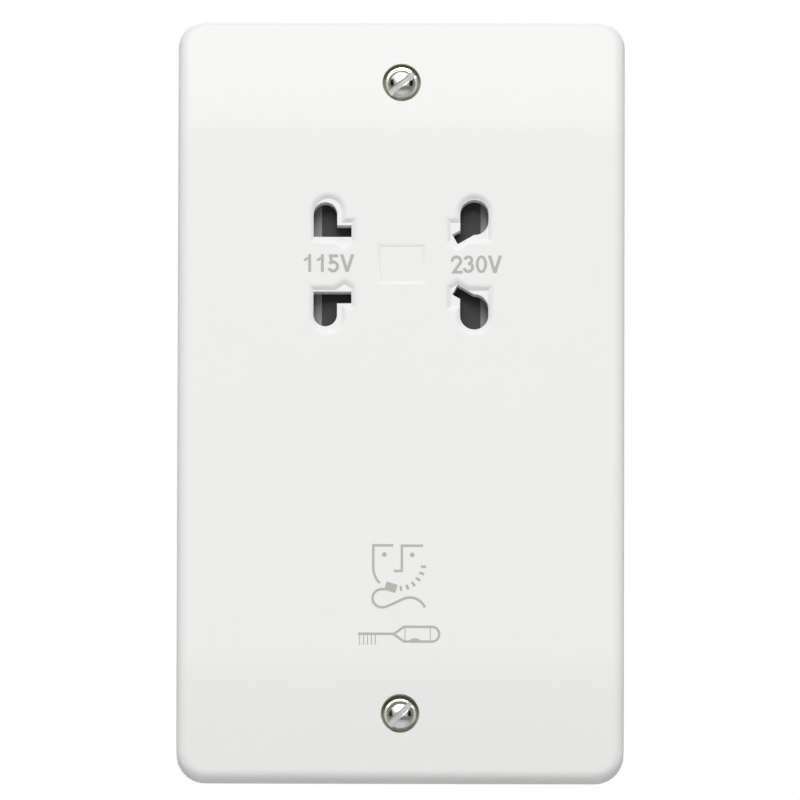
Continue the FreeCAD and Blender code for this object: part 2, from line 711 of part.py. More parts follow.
def switch_strap(row):
    """Fixed switch contact: a folded strap with a pad facing the bar on each side and a solder tag."""
    middle_z = OUTLET_Z + POST_HEIGHT + row * PAD_OFFSET
    face_x = BRIDGE_STRIP / 2 + PAD_HEIGHT + SHUTTER_TRAVEL + SWITCH_GAP
    leg_x = face_x + PAD_HEIGHT + SWITCH_STRIP / 2
    back = SWITCH_BACK + SWITCH_STRIP / 2
    path = [(-leg_x, SWITCH_FRONT), (-leg_x, back), (leg_x, back), (leg_x, SWITCH_FRONT)]
    strap = folded_strip(path, SWITCH_STRIP, SWITCH_BEND, 2 * SWITCH_HALF_HEIGHT)
    strap.translate(Vector(0, 0, middle_z - SWITCH_HALF_HEIGHT))
    pads = [
        contact_pad(face_x, face_x + PAD_HEIGHT, row),
        contact_pad(-face_x - PAD_HEIGHT, -face_x, row),
    ]
    half_tag, half_strip = TAG_WIDTH / 2, SWITCH_STRIP / 2
    tag = box(
        -half_tag, half_tag, back, RETAINER_BACK_Y + TAG_REACH, middle_z - half_strip, middle_z + half_strip
    )
    return fuse_all([strap, tag] + pads)


# Contact carrier, pin contacts and the cover behind them
def outlet_box(side, row, inner, outer, low, high, y0, y1):
    """Block behind one pin hole, from distances to the plate's middle and to the outlets' centre line."""
    x0, x1 = sorted((side * inner, side * outer))
    z0, z1 = sorted((OUTLET_Z + row * low, OUTLET_Z + row * high))
    return box(x0, x1, y0, y1, z0, z1)


def contact_carrier():
    """Moulding that guides the shutter at the front and holds the pin contacts in four towers at the back."""
    frame = box(
        -CARRIER_HALF_WIDTH,
        CARRIER_HALF_WIDTH,
        HOLE_END_Y,
        FLOOR_BACK_Y,
        OUTLET_Z - CARRIER_HALF_HEIGHT,
        OUTLET_Z + CARRIER_HALF_HEIGHT,
    )
    channel = box(
        -CHANNEL_HALF_WIDTH,
        CHANNEL_HALF_WIDTH,
        HOLE_END_Y,
        FLOOR_FRONT_Y,
        OUTLET_Z - CHANNEL_HALF_HEIGHT,
        OUTLET_Z + CHANNEL_HALF_HEIGHT,
    )
    towers, cuts = [], [channel, spring_groove()]
    wall, edge = TOWER_WALL, PIN_WINDOW_EDGE
    for side in (-1, 1):
        for row in (-1, 1):
            outer = (TOWER_INNER - wall, TOWER_OUTER + wall, TOWER_LOW - wall, TOWER_HIGH + wall)
            inner = (TOWER_INNER, TOWER_OUTER, TOWER_LOW, TOWER_HIGH)
            window = (TOWER_INNER + edge, TOWER_OUTER - edge, TOWER_LOW + edge, TOWER_HIGH - edge)
            towers.append(outlet_box(side, row, *outer, FLOOR_FRONT_Y, TOWER_END))
            cuts.append(outlet_box(side, row, *inner, FLOOR_BACK_Y, TOWER_END))
            cuts.append(outlet_box(side, row, *window, FLOOR_FRONT_Y, FLOOR_BACK_Y))
    slot_width = POST_HALF_WIDTH + SHUTTER_TRAVEL + CARRIER_CLEAR
    slot_z = OUTLET_Z + POST_HEIGHT
    slot_height = POST_HALF_HEIGHT + CARRIER_CLEAR
    cuts.append(
        box(-slot_width, slot_width, FLOOR_FRONT_Y, FLOOR_BACK_Y, slot_z - slot_height, slot_z + slot_height)
    )
    return fuse_all([frame] + towers).cut(cuts)


def clip_path():
    """Folded path of one pin contact, by row height and depth: two sprung jaws and a back."""
    low = TOWER_LOW + CLIP_CLEAR + CLIP_STRIP / 2
    high = TOWER_HIGH - CLIP_CLEAR - CLIP_STRIP / 2
    front = FLOOR_BACK_Y + CLIP_CLEAR
    back = TOWER_END - CLIP_STRIP / 2
    grip = front + (back - front) * CLIP_GRIP_SHARE
    root = front + (back - front) * CLIP_ROOT_SHARE
    return [
        (low + CLIP_MOUTH, front),
        (low + CLIP_GRIP, grip),
        (low, root),
        (low, back),
        (high, back),
        (high, root),
        (high - CLIP_GRIP, grip),
        (high - CLIP_MOUTH, front),
    ]


def pin_clip(side, row):
    """One sprung pin contact in its tower."""
    width = TOWER_OUTER - TOWER_INNER - 2 * CLIP_CLEAR
    start_x = TOWER_INNER + CLIP_CLEAR if side > 0 else -TOWER_OUTER + CLIP_CLEAR
    strip = folded_strip(clip_path(), CLIP_STRIP, CLIP_BEND, width)
    # The strip is drawn in X and Y with its width along Z: stand its rows up along Z and its width along X.
    strip.rotate(Vector(0, 0, 0), AXIS_Y, 90)
    strip = strip.mirror(Vector(0, 0, 0), AXIS_Z) if row > 0 else strip
    strip.translate(Vector(start_x, 0, OUTLET_Z))
    return strip


def clip_tag(side, row):
    """Solder tag on the back of one pin contact, through the carrier's rear cover."""
    middle_x = side * (TOWER_INNER + TOWER_OUTER) / 2
    middle_z = OUTLET_Z + row * (TOWER_LOW + TOWER_HIGH) / 2
    half = TAG_WIDTH / 2
    end_y = RETAINER_BACK_Y + TAG_REACH
    strip = CLIP_STRIP / 2
    return box(middle_x - half, middle_x + half, TOWER_END - strip, end_y, middle_z - strip, middle_z + strip)


def single_contact(side):
    """Upper pin contact of one outlet."""
    return fuse_all([pin_clip(side, 1), clip_tag(side, 1)])


def common_contact():
    """Lower pin contacts of both outlets, joined by a strap across the carrier."""
    middle_z = OUTLET_Z - (TOWER_LOW + TOWER_HIGH) / 2
    strap = box(
        -TOWER_INNER - CLIP_BEND,
        TOWER_INNER + CLIP_BEND,
        TOWER_END - CLIP_STRIP,
        TOWER_END,
        middle_z - STRAP_HALF_HEIGHT,
        middle_z + STRAP_HALF_HEIGHT,
    )
    return fuse_all([pin_clip(-1, -1), pin_clip(1, -1), strap, clip_tag(1, -1)])


def strap_notch():
    """Gap in the lower towers' inner walls for the common contact's strap."""
    middle_z = OUTLET_Z - (TOWER_LOW + TOWER_HIGH) / 2
    half = STRAP_HALF_HEIGHT + CARRIER_CLEAR
    front = TOWER_END - CLIP_STRIP - CARRIER_CLEAR
    return box(-TOWER_INNER, TOWER_INNER, front, TOWER_END, middle_z - half, middle_z + half)


def contact_retainer():
    """Cover plate that closes the carrier's towers, slotted for the solder tags."""
    plate = box(
        -CARRIER_HALF_WIDTH,
        CARRIER_HALF_WIDTH,
        TOWER_END,
        RETAINER_BACK_Y,
        OUTLET_Z - CARRIER_HALF_HEIGHT,
        OUTLET_Z + CARRIER_HALF_HEIGHT,
    )
    half = TAG_WIDTH / 2 + CARRIER_CLEAR
    thick = SWITCH_STRIP / 2 + CARRIER_CLEAR
    middle_x = (TOWER_INNER + TOWER_OUTER) / 2
    middle_row = (TOWER_LOW + TOWER_HIGH) / 2
    tags = [(-middle_x, middle_row), (middle_x, middle_row), (middle_x, -middle_row)]
    tags += [(0, POST_HEIGHT - PAD_OFFSET), (0, POST_HEIGHT + PAD_OFFSET)]
    slots = [
        box(x - half, x + half, TOWER_END, RETAINER_BACK_Y, OUTLET_Z + row - thick, OUTLET_Z + row + thick)
        for x, row in tags
    ]
    return plate.cut(slots)


# Rear housing and assembly screws
def housing_shell(inset):
    """Outside of the housing, or its hollow: a shallow block with a deep block below it."""
    half_width = HOUSING_WIDTH / 2 - inset
    half_height = HOUSING_HEIGHT / 2 - inset
    radius = HOUSING_CORNER_RADIUS - inset
    shallow = rounded_block(half_width, half_height, radius, INNER_Y, HOUSING_SHALLOW - inset)
    deep = rounded_block(half_width, half_height, radius, INNER_Y, HOUSING_DEEP - inset)
    below = box(-FAR, FAR, INNER_Y, HOUSING_DEEP, -FAR, HOUSING_STEP_Z - inset)
    return shallow.fuse(deep.common(below)).removeSplitter()


def terminal_places():
    """Middles of the live, earth and neutral terminals across the housing."""
    return {"live": -TERMINAL_PITCH, "earth": 0.0, "neutral": TERMINAL_PITCH}


def terminal_shroud():
    """Comb of walls on the housing's back between and below the terminals, open above for the conductors."""
    half_pocket = TERMINAL_WIDTH / 2 + TERMINAL_CLEAR
    half_width = TERMINAL_PITCH + half_pocket + SHROUD_WALL
    low = TERMINAL_Z - TERMINAL_HEIGHT / 2 - TERMINAL_CLEAR
    high = TERMINAL_Z + TERMINAL_HEIGHT / 2
    end_y = HOUSING_SHALLOW + SHROUD_DEPTH
    comb = box(-half_width, half_width, HOUSING_SHALLOW, end_y, low - SHROUD_WALL, high)
    pockets = [
        box(x - half_pocket, x + half_pocket, HOUSING_SHALLOW, end_y, low, high)
        for x in terminal_places().values()
    ]
    return comb.cut(pockets)


def on_back_rim(edge):
    """Whether an edge lies round the back of the shallow or the deep part, and not between the two."""
    depths = [vertex.Y for vertex in edge.Vertexes]
    heights = [vertex.Z for vertex in edge.Vertexes]
    on_deep = min(depths) > HOUSING_DEEP - EDGE_TOLERANCE
    on_shallow = max(abs(y - HOUSING_SHALLOW) for y in depths) < EDGE_TOLERANCE
    return on_deep or (on_shallow and max(heights) > HOUSING_STEP_Z + EDGE_TOLERANCE)


def corner_block(x, z):
    """Pillar in a corner of the housing for one screw, with its inner corner cut off."""
    reach = ASSEMBLY_SINK_RADIUS + ASSEMBLY_BLOCK_WALL
    x_in, x_out = x - math.copysign(reach, x), math.copysign(HOUSING_WIDTH / 2, x)
    z_in, z_out = z - math.copysign(reach, z), math.copysign(HOUSING_HEIGHT / 2, z)
    block = box(min(x_in, x_out), max(x_in, x_out), 0, HOUSING_DEEP, min(z_in, z_out), max(z_in, z_out))
    inner = [
        edge
        for edge in block.Edges
        if all(math.hypot(v.X - x_in, v.Z - z_in) < EDGE_TOLERANCE for v in edge.Vertexes)
    ]
    return block.makeChamfer(ASSEMBLY_BLOCK_CHAMFER, inner)


def carrier_ribs(back):
    """Pair of upright ribs in the housing that press the contact carrier and its cover against the plate."""
    half = CORE_RIB / 2
    low, high = OUTLET_Z - CHANNEL_HALF_HEIGHT, OUTLET_Z + CHANNEL_HALF_HEIGHT
    places = (-CHANNEL_HALF_WIDTH, CHANNEL_HALF_WIDTH)
    return [box(x - half, x + half, RETAINER_BACK_Y, back, low, high) for x in places]


def rear_housing():
    """Moulded enclosure behind the plate, with screw pillars, ribs for what it holds and terminal pockets."""
    outside = housing_shell(0.0)
    outside = outside.makeChamfer(HOUSING_EDGE_CHAMFER, [e for e in outside.Edges if on_back_rim(e)])
    shell = outside.cut(housing_shell(HOUSING_WALL))
    pillars = [corner_block(x, z).common(outside) for x, z in assembly_places()]
    back = HOUSING_SHALLOW - HOUSING_WALL
    ribs = core_ribs(CORE_BACK, HOUSING_DEEP - HOUSING_WALL) + carrier_ribs(back)
    housing = fuse_all([shell, terminal_shroud()] + pillars + ribs)
    cuts = []
    for x, z in assembly_places():
        cuts.append(rod_y(x, z, ASSEMBLY_HOLE_RADIUS, 0, ASSEMBLY_SEAT_Y))
        cuts.append(rod_y(x, z, ASSEMBLY_SINK_RADIUS, ASSEMBLY_SEAT_Y, HOUSING_DEEP))
    half_width = TERMINAL_TAG_WIDTH / 2 + TERMINAL_CLEAR
    half_strip = TERMINAL_TAG_STRIP / 2 + TERMINAL_CLEAR
    for x in terminal_places().values():
        cuts.append(
            box(
                x - half_width,
                x + half_width,
                back,
                HOUSING_SHALLOW,
                TERMINAL_Z - half_strip,
                TERMINAL_Z + half_strip,
            )
        )
    return housing.cut(cuts)


def assembly_screw(x, z):
    """Slotted pan head screw from the housing's pillar into the plate's boss."""
    head_top = ASSEMBLY_SEAT_Y + ASSEMBLY_HEAD_HEIGHT
    profile = [
        (0, ASSEMBLY_SHANK_END),
        (ASSEMBLY_SHANK_RADIUS, ASSEMBLY_SHANK_END),
        (ASSEMBLY_SHANK_RADIUS, ASSEMBLY_SEAT_Y),
        (ASSEMBLY_HEAD_RADIUS, ASSEMBLY_SEAT_Y),
        (ASSEMBLY_HEAD_RADIUS, head_top),
        (0, head_top),
    ]
    half = ASSEMBLY_SLOT_WIDTH / 2
    slot = box(x - half, x + half, head_top - ASSEMBLY_SLOT_DEPTH, head_top, z - FAR, z + FAR)
    return turned_y(profile, x, z).cut(slot)


def assembly_screws():
    """The four screws between housing and plate."""
    return Part.makeCompound([assembly_screw(x, z) for x, z in assembly_places()])


# Supply terminals
def terminal(x):
    """Brass pillar terminal with a cross bore for the conductor, a threaded hole and a tag."""
    half_width, half_height = TERMINAL_WIDTH / 2, TERMINAL_HEIGHT / 2
    front = HOUSING_SHALLOW
    low, high = TERMINAL_Z - half_height, TERMINAL_Z + half_height
    block = box(x - half_width, x + half_width, front, front + TERMINAL_DEPTH, low, high)
    half_tag, half_strip = TERMINAL_TAG_WIDTH / 2, TERMINAL_TAG_STRIP / 2
    tag_end = front - TERMINAL_TAG_LENGTH
    tag = box(x - half_tag, x + half_tag, tag_end, front, TERMINAL_Z - half_strip, TERMINAL_Z + half_strip)
    bore_y = front + TERMINAL_BORE_DEPTH
    bore = Part.makeCylinder(TERMINAL_BORE_RADIUS, TERMINAL_HEIGHT, Vector(x, bore_y, low), AXIS_Z)
    thread = rod_y(x, TERMINAL_Z, TERMINAL_THREAD_RADIUS, bore_y, front + TERMINAL_DEPTH)
    return block.fuse(tag).cut([bore, thread]).removeSplitter()


def terminal_screw(x):
    """Slotted clamping screw, backed off clear of the conductor's bore."""
    seat = HOUSING_SHALLOW + TERMINAL_DEPTH + TERMINAL_HEAD_LIFT
    head_top = seat + TERMINAL_HEAD_HEIGHT
    tip = HOUSING_SHALLOW + TERMINAL_BORE_DEPTH + TERMINAL_BORE_RADIUS + TERMINAL_CLEAR
    profile = [
        (0, tip),
        (TERMINAL_SCREW_RADIUS, tip),
        (TERMINAL_SCREW_RADIUS, seat),
        (TERMINAL_HEAD_RADIUS, seat),
        (TERMINAL_HEAD_RADIUS, head_top),
        (0, head_top),
    ]
    half = TERMINAL_SLOT_WIDTH / 2
    slot_y = head_top - TERMINAL_SLOT_DEPTH
    slot = box(x - FAR, x + FAR, slot_y, head_top, TERMINAL_Z - half, TERMINAL_Z + half)
    return turned_y(profile, x, TERMINAL_Z).cut(slot)


def terminal_screws():
    """The three clamping screws of the supply terminals."""
    return Part.makeCompound([terminal_screw(x) for x in terminal_places().values()])


# Transformer
def core_e_stack():
    """E shaped half of the laminated core, legs upwards."""
    half = CORE_WIDTH / 2
    top = CORE_TOP - CORE_WINDOW
    block = box(-half, half, CORE_FRONT, CORE_BACK, CORE_BOTTOM, top)
    leg = CORE_LEG / 2
    bottom = CORE_BOTTOM + CORE_WINDOW
    windows = [
        box(leg, leg + CORE_WINDOW, CORE_FRONT, CORE_BACK, bottom, top),
        box(-leg - CORE_WINDOW, -leg, CORE_FRONT, CORE_BACK, bottom, top),
    ]
    return block.cut(windows)


def core_i_stack():
    """I shaped half of the laminated core, across the tops of the legs."""
    half = CORE_WIDTH / 2
    return box(-half, half, CORE_FRONT, CORE_BACK, CORE_TOP - CORE_WINDOW, CORE_TOP)


def bobbin():
    """Split bobbin on the middle leg: a square tube with three flanges."""
    inner = CORE_LEG / 2 + BOBBIN_CLEAR
    inner_y = CORE_STACK / 2 + BOBBIN_CLEAR
    outer, outer_y = inner + BOBBIN_WALL, inner_y + BOBBIN_WALL
    low = CORE_BOTTOM + CORE_WINDOW + BOBBIN_CLEAR
    high = CORE_TOP - CORE_WINDOW - BOBBIN_CLEAR
    tube = box(-outer, outer, CORE_Y - outer_y, CORE_Y + outer_y, low, high)
    reach = CORE_LEG / 2 + CORE_WINDOW - BOBBIN_CLEAR
    reach_y = CORE_STACK / 2 + BOBBIN_OVERHANG
    flanges = [
        box(-reach, reach, CORE_Y - reach_y, CORE_Y + reach_y, z, z + BOBBIN_FLANGE)
        for z in (low, (low + high - BOBBIN_FLANGE) / 2, high - BOBBIN_FLANGE)
    ]
    hole = box(-inner, inner, CORE_Y - inner_y, CORE_Y + inner_y, low, high)
    return fuse_all([tube] + flanges).cut(hole)


def winding_span(section):
    """Low and high z of the lower (0) or upper (1) winding space on the bobbin."""
    low = CORE_BOTTOM + CORE_WINDOW + BOBBIN_CLEAR + BOBBIN_FLANGE
    high = CORE_TOP - CORE_WINDOW - BOBBIN_CLEAR - BOBBIN_FLANGE
    middle = (low + high) / 2
    half_flange = BOBBIN_FLANGE / 2
    spans = ((low, middle - half_flange), (middle + half_flange, high))
    low, high = spans[section]
    return low + WINDING_CLEAR, high - WINDING_CLEAR


def winding_ring(section, inner_grow, outer_grow):
    """Ring round the bobbin's tube with eased outer corners, grown from the tube by two amounts."""
    low, high = winding_span(section)
    base_x = CORE_LEG / 2 + BOBBIN_CLEAR + BOBBIN_WALL + WINDING_CLEAR
    base_y = CORE_STACK / 2 + BOBBIN_CLEAR + BOBBIN_WALL + WINDING_CLEAR

    def slab(grow):
        cut = WINDING_CORNER * grow / WINDING_DEPTH
        half_x, half_y = base_x + grow, base_y + grow
        block = box(-half_x, half_x, CORE_Y - half_y, CORE_Y + half_y, low, high)
        uprights = [e for e in block.Edges if abs(e.tangentAt(e.FirstParameter).z) > FACING_SHARE]
        return block.makeChamfer(cut, uprights) if cut > 0 else block

    return slab(outer_grow).cut(slab(inner_grow))


def winding(section):
    """Copper winding, taken as one solid ring."""
    return winding_ring(section, 0.0, WINDING_DEPTH)


def winding_tape(section):
    """Insulating tape round a winding."""
    start = WINDING_DEPTH + WINDING_CLEAR
    return winding_ring(section, start, start + TAPE_THICKNESS)


def overload_cutout():
    """Flat cut out lying against the back of the primary winding."""
    low, high = winding_span(0)
    middle_z = (low + high) / 2
    grown = WINDING_CLEAR * 2 + WINDING_DEPTH + TAPE_THICKNESS
    front = CORE_Y + CORE_STACK / 2 + BOBBIN_CLEAR + BOBBIN_WALL + grown + CUTOUT_GAP
    half_width, half_height = CUTOUT_WIDTH / 2, CUTOUT_HEIGHT / 2
    return rounded_block(half_width, half_height, CUTOUT_CORNER, front, front + CUTOUT_THICKNESS, middle_z)


def save(name, shape):
    """Writes one piece to its own file and says what it measures."""
    shape.exportStep(os.path.join("parts", name + ".step"))
    size = shape.BoundBox
    print(
        f"{name}: {len(shape.Solids)} solid, valid {shape.isValid()}, volume {shape.Volume:.1f}, "
        f"{size.XLength:.1f} x {size.YLength:.1f} x {size.ZLength:.1f}"
    )


def main():
    os.makedirs("parts", exist_ok=True)
    save("front_plate", front_plate())
    save("fixing_screws", fixing_screws())
    save("shutter", shutter())
    save("shutter_spring", centring_spring())
    save("switch_bridge", switch_bridge())
    save("switch_strap_upper", switch_strap(1))
    save("switch_strap_lower", switch_strap(-1))
    save("contact_carrier", contact_carrier().cut(strap_notch()))
    save("contact_115v", single_contact(-1))
    save("contact_230v", single_contact(1))
    save("contact_common", common_contact())
    save("contact_retainer", contact_retainer())
    save("rear_housing", rear_housing())
    save("assembly_screws", assembly_screws())
    for name, x in terminal_places().items():
        save(f"{name}_terminal", terminal(x))
    save("terminal_screws", terminal_screws())
    save("core_e_stack", core_e_stack())
    save("core_i_stack", core_i_stack())
    save("transformer_bobbin", bobbin())
    save("primary_winding", winding(0))
    save("secondary_winding", winding(1))
    save("primary_tape", winding_tape(0))
    save("secondary_tape", winding_tape(1))
    save("overload_cutout", overload_cutout())


main()
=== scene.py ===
# %% [markdown]
# # Dressing a shaver socket
# A shaver socket is a moulded plate on a bathroom wall, with a low and a high voltage outlet and a small
# isolating transformer behind it. Its pieces already stand in a fixed frame, at their real size and in
# metres. This lesson gives every piece its finish, rounds the edges that a mould leaves soft, and adds
# what is too fine for the frame: the printed voltage marks and signs, the raised marks of the terminals
# and the threads of the screws.

# %% Load the fixed frame
import json
import math

import bmesh
import bpy
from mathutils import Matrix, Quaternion, Vector


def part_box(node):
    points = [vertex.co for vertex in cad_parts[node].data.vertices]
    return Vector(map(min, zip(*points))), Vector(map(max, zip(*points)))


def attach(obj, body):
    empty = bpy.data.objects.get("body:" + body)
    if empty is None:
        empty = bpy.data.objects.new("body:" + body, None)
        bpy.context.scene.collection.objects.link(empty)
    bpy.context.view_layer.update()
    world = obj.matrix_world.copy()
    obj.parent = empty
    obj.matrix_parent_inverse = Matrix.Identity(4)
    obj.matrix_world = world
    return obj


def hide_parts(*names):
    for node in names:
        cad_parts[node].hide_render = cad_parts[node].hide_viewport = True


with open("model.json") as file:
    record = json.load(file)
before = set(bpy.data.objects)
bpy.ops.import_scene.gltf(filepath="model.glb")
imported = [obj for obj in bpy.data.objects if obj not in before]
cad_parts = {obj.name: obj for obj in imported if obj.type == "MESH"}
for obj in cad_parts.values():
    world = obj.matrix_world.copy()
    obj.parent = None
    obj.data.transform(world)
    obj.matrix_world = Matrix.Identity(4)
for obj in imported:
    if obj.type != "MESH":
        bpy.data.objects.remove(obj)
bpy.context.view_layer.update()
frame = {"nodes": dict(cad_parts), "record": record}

MM = 0.001
plate_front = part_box("front_plate")[0].y
print("pieces in the frame:", len(frame["nodes"]))

# %% [markdown]
# ## The camera
# The socket was photographed from straight ahead and a little below, from far away with a long lens, so
# its sides stay almost parallel. A camera could be aimed with a constraint. Here its place follows from
# an angle and a distance, and a vector's own tracking call turns it, because that leaves nothing live in
# the file.

# %% Camera
CAMERA_DISTANCE = 5.0
CAMERA_LENS = 1187.5
CAMERA_RISE = math.radians(-7.5)
CAMERA_ROLL = math.radians(0.15)
CAMERA_AIM = Vector((-0.17 * MM, plate_front, -0.63 * MM))

towards_camera = Vector((0, -math.cos(CAMERA_RISE), math.sin(CAMERA_RISE)))
facing = (-towards_camera).to_track_quat("-Z", "Y") @ Quaternion((0, 0, 1), CAMERA_ROLL)
bpy.ops.object.camera_add(location=CAMERA_AIM + towards_camera * CAMERA_DISTANCE, rotation=facing.to_euler())
camera = bpy.context.active_object
camera.data.lens = CAMERA_LENS
bpy.context.scene.camera = camera
print("camera at", [round(value, 3) for value in camera.location])

# %% [markdown]
# ## Small helpers for shader nodes
# Every finish below is a few shader nodes. Adding a node and setting its inputs takes several lines by
# hand, so four helpers do it: one adds any node and fills the inputs that are named, the others add a
# sum, a grey ramp and a mix of two colours. A Mix node has sockets for numbers, vectors and colours, so
# its colour sockets are found by number.


# %% Node helpers
MIX_FIRST, MIX_SECOND, MIX_RESULT = 6, 7, 2


def add_node(tree, kind, **inputs):
    """Adds a shader node and sets its named inputs."""
    made = tree.nodes.new("ShaderNode" + kind)
    for name, value in inputs.items():
        made.inputs[name.replace("_", " ")].default_value = value
    return made


def add_math(tree, operation, *values):
    """Adds a Math node whose inputs are numbers or sockets."""
    made = tree.nodes.new("ShaderNodeMath")
    made.operation = operation
    for place, value in enumerate(values):
        if isinstance(value, (int, float)):
            made.inputs[place].default_value = value
        else:
            tree.links.new(value, made.inputs[place])
    return made.outputs[0]


def add_ramp(tree, factor, stops):
    """Adds a colour ramp through grey stops, given as (place, grey) pairs."""
    made = tree.nodes.new("ShaderNodeValToRGB")
    tree.links.new(factor, made.inputs["Fac"])
    elements = made.color_ramp.elements
    while len(elements) < len(stops):
        elements.new(1.0)
    for element, (place, grey) in zip(elements, stops):
        element.position = place
        element.color = (grey, grey, grey, 1)
    return made.outputs["Color"]


def add_mix(tree, factor, first, second):
    """Adds a Mix node between two colours, each a tuple or a socket."""
    made = tree.nodes.new("ShaderNodeMix")
    made.data_type = "RGBA"
    tree.links.new(factor, made.inputs[0])
    for place, value in ((MIX_FIRST, first), (MIX_SECOND, second)):
        if isinstance(value, tuple):
            made.inputs[place].default_value = value
        else:
            tree.links.new(value, made.inputs[place])
    return made.outputs[MIX_RESULT]


# %% [markdown]
# ## Background and fill
# The background is plain white. That white comes from the world, but only for rays that the camera or a
# mirror sends out, so it adds no light to the plate. All other rays meet a fill that grows with the
# square of the sideways direction, like two pale walls beside the socket. A mirror also sees the studio
# in front of the socket, bright above and with a dark panel on either side: that gives bright metal its
# dark marks.

# %% World
WHITE = (1, 1, 1, 1)
FILL = (0.80, 0.80, 0.776, 1)
FILL_GROWTH = 2.0
STUDIO_HEIGHTS = ((0.0, 0.55), (0.62, 0.60), (0.69, 1.15), (0.90, 1.15), (1.0, 0.70))
PANEL_SIDES = ((0.50, 0.0), (0.58, 1.0), (0.84, 1.0), (0.9, 0.0))
PANEL_HEIGHTS = ((0.40, 0.0), (0.44, 1.0), (0.70, 1.0), (0.76, 0.0))

scene = bpy.context.scene
scene.view_settings.view_transform = "Standard"
world = bpy.data.worlds.new("studio")
scene.world = world
world.use_nodes = True
tree = world.node_tree
tree.nodes.clear()
rays = add_node(tree, "LightPath")
direction = add_node(tree, "SeparateXYZ")
tree.links.new(add_node(tree, "TexCoord").outputs["Generated"], direction.inputs[0])
height = add_math(tree, "MULTIPLY_ADD", direction.outputs["Z"], 0.5, 0.5)
sideways = add_math(tree, "ABSOLUTE", direction.outputs["X"])
panel_sides = add_ramp(tree, sideways, PANEL_SIDES)
panels = add_math(tree, "MULTIPLY", panel_sides, add_ramp(tree, height, PANEL_HEIGHTS))
open_way = add_math(tree, "SUBTRACT", 1.0, panels)
studio = add_math(tree, "MULTIPLY", add_ramp(tree, height, STUDIO_HEIGHTS), open_way)
in_front = add_math(tree, "LESS_THAN", direction.outputs["Y"], 0.0)
mirrored = add_math(tree, "MULTIPLY", rays.outputs["Is Glossy Ray"], in_front)
fill = add_node(tree, "Background", Color=FILL)
tree.links.new(add_math(tree, "POWER", sideways, FILL_GROWTH), fill.inputs["Strength"])
shown = add_node(tree, "Background")
tree.links.new(add_mix(tree, mirrored, WHITE, studio), shown.inputs["Color"])
seen = add_math(tree, "MAXIMUM", rays.outputs["Is Camera Ray"], rays.outputs["Is Glossy Ray"])
seen = add_math(tree, "MAXIMUM", seen, rays.outputs["Is Transmission Ray"])
choice = add_node(tree, "MixShader")
tree.links.new(seen, choice.inputs[0])
tree.links.new(fill.outputs[0], choice.inputs[1])
tree.links.new(shown.outputs[0], choice.inputs[2])
tree.links.new(choice.outputs[0], add_node(tree, "OutputWorld").inputs["Surface"])
print("world fill:", FILL)

# %% [markdown]
# ## Lamps and floor
# The plate's upper slope is its lightest part and its lower edge the darkest, so the main light is one
# large soft box above and in front. A second box behind lights only the back, which would be dull without
# it, and a weak one below lifts the lower edge. The camera doesn't see the boxes. A pale floor far below
# throws some light back up.

# %% Lamps
KEY_RISE = math.radians(33)
KEY_SWING = math.radians(-1)
KEY_DISTANCE = 4.0
KEY_SIZE = 2.4
KEY_POWER = 141.0
BACK_RISE = math.radians(48)
BACK_DISTANCE = 1.0
BACK_SIZE = 0.6
BACK_POWER = 9.5
BELOW_RISE = math.radians(-80)
BELOW_DISTANCE = 0.8
BELOW_SIZE = 0.6
BELOW_POWER = 0.6


def add_soft_box(name, place, size, power):
    """Adds a square area lamp that faces the middle of the socket."""
    turn = (-place).to_track_quat("-Z", "Y").to_euler()
    bpy.ops.object.light_add(type="AREA", location=place, rotation=turn)
    lamp = bpy.context.active_object
    lamp.name = name
    lamp.data.size = size
    lamp.data.energy = power
    lamp.visible_camera = False


key_way = Vector((0, -math.cos(KEY_RISE), math.sin(KEY_RISE)))
key_way.rotate(Quaternion((0, 0, 1), KEY_SWING))
add_soft_box("key", key_way * KEY_DISTANCE, KEY_SIZE, KEY_POWER)
back_way = Vector((0, math.cos(BACK_RISE), math.sin(BACK_RISE)))
add_soft_box("back", back_way * BACK_DISTANCE, BACK_SIZE, BACK_POWER)
below_way = Vector((0, math.cos(BELOW_RISE), math.sin(BELOW_RISE)))
add_soft_box("below", below_way * BELOW_DISTANCE, BELOW_SIZE, BELOW_POWER)
print("lamps:", KEY_POWER, "W in front,", BACK_POWER, "W behind and", BELOW_POWER, "W below")

# %% Floor
FLOOR_DROP = 1.8
FLOOR_SIZE = 60.0
FLOOR_GREY, FLOOR_ROUGHNESS = 0.86, 0.9

bpy.ops.mesh.primitive_plane_add(size=FLOOR_SIZE, location=(0, 0, -FLOOR_DROP))
floor = bpy.context.active_object
floor.name = "floor"
paint = bpy.data.materials.new("floor_paint")
paint.use_nodes = True
shader = paint.node_tree.nodes["Principled BSDF"]
shader.inputs["Base Color"].default_value = (FLOOR_GREY, FLOOR_GREY, FLOOR_GREY, 1)
shader.inputs["Roughness"].default_value = FLOOR_ROUGHNESS
floor.data.materials.append(paint)
print("floor", FLOOR_DROP, "m below the fixing centre")

# %% [markdown]
# ## Effects that several finishes share
# Moulded plastic is never a perfect mirror: the steel mould leaves a very fine grain, and the shine
# changes a little from place to place. Plated metal has thin and thick places in its coating. Wound wire,
# stacked sheet and brushed strip all show fine parallel lines. Each of these is a node group, made once
# and placed in a material with its own values. A group hands out only numbers that change over the
# surface, and the shader stays in the material.


# %% Group helper
def start_group(name, inputs, outputs):
    """Starts a shader node group with number sockets and returns its tree and its two end nodes."""
    made = bpy.data.node_groups.new(name, "ShaderNodeTree")
    for title, value in inputs.items():
        made.interface.new_socket(title, in_out="INPUT", socket_type="NodeSocketFloat").default_value = value
    for title in outputs:
        made.interface.new_socket(title, in_out="OUTPUT", socket_type="NodeSocketFloat")
    return made, made.nodes.new("NodeGroupInput"), made.nodes.new("NodeGroupOutput")


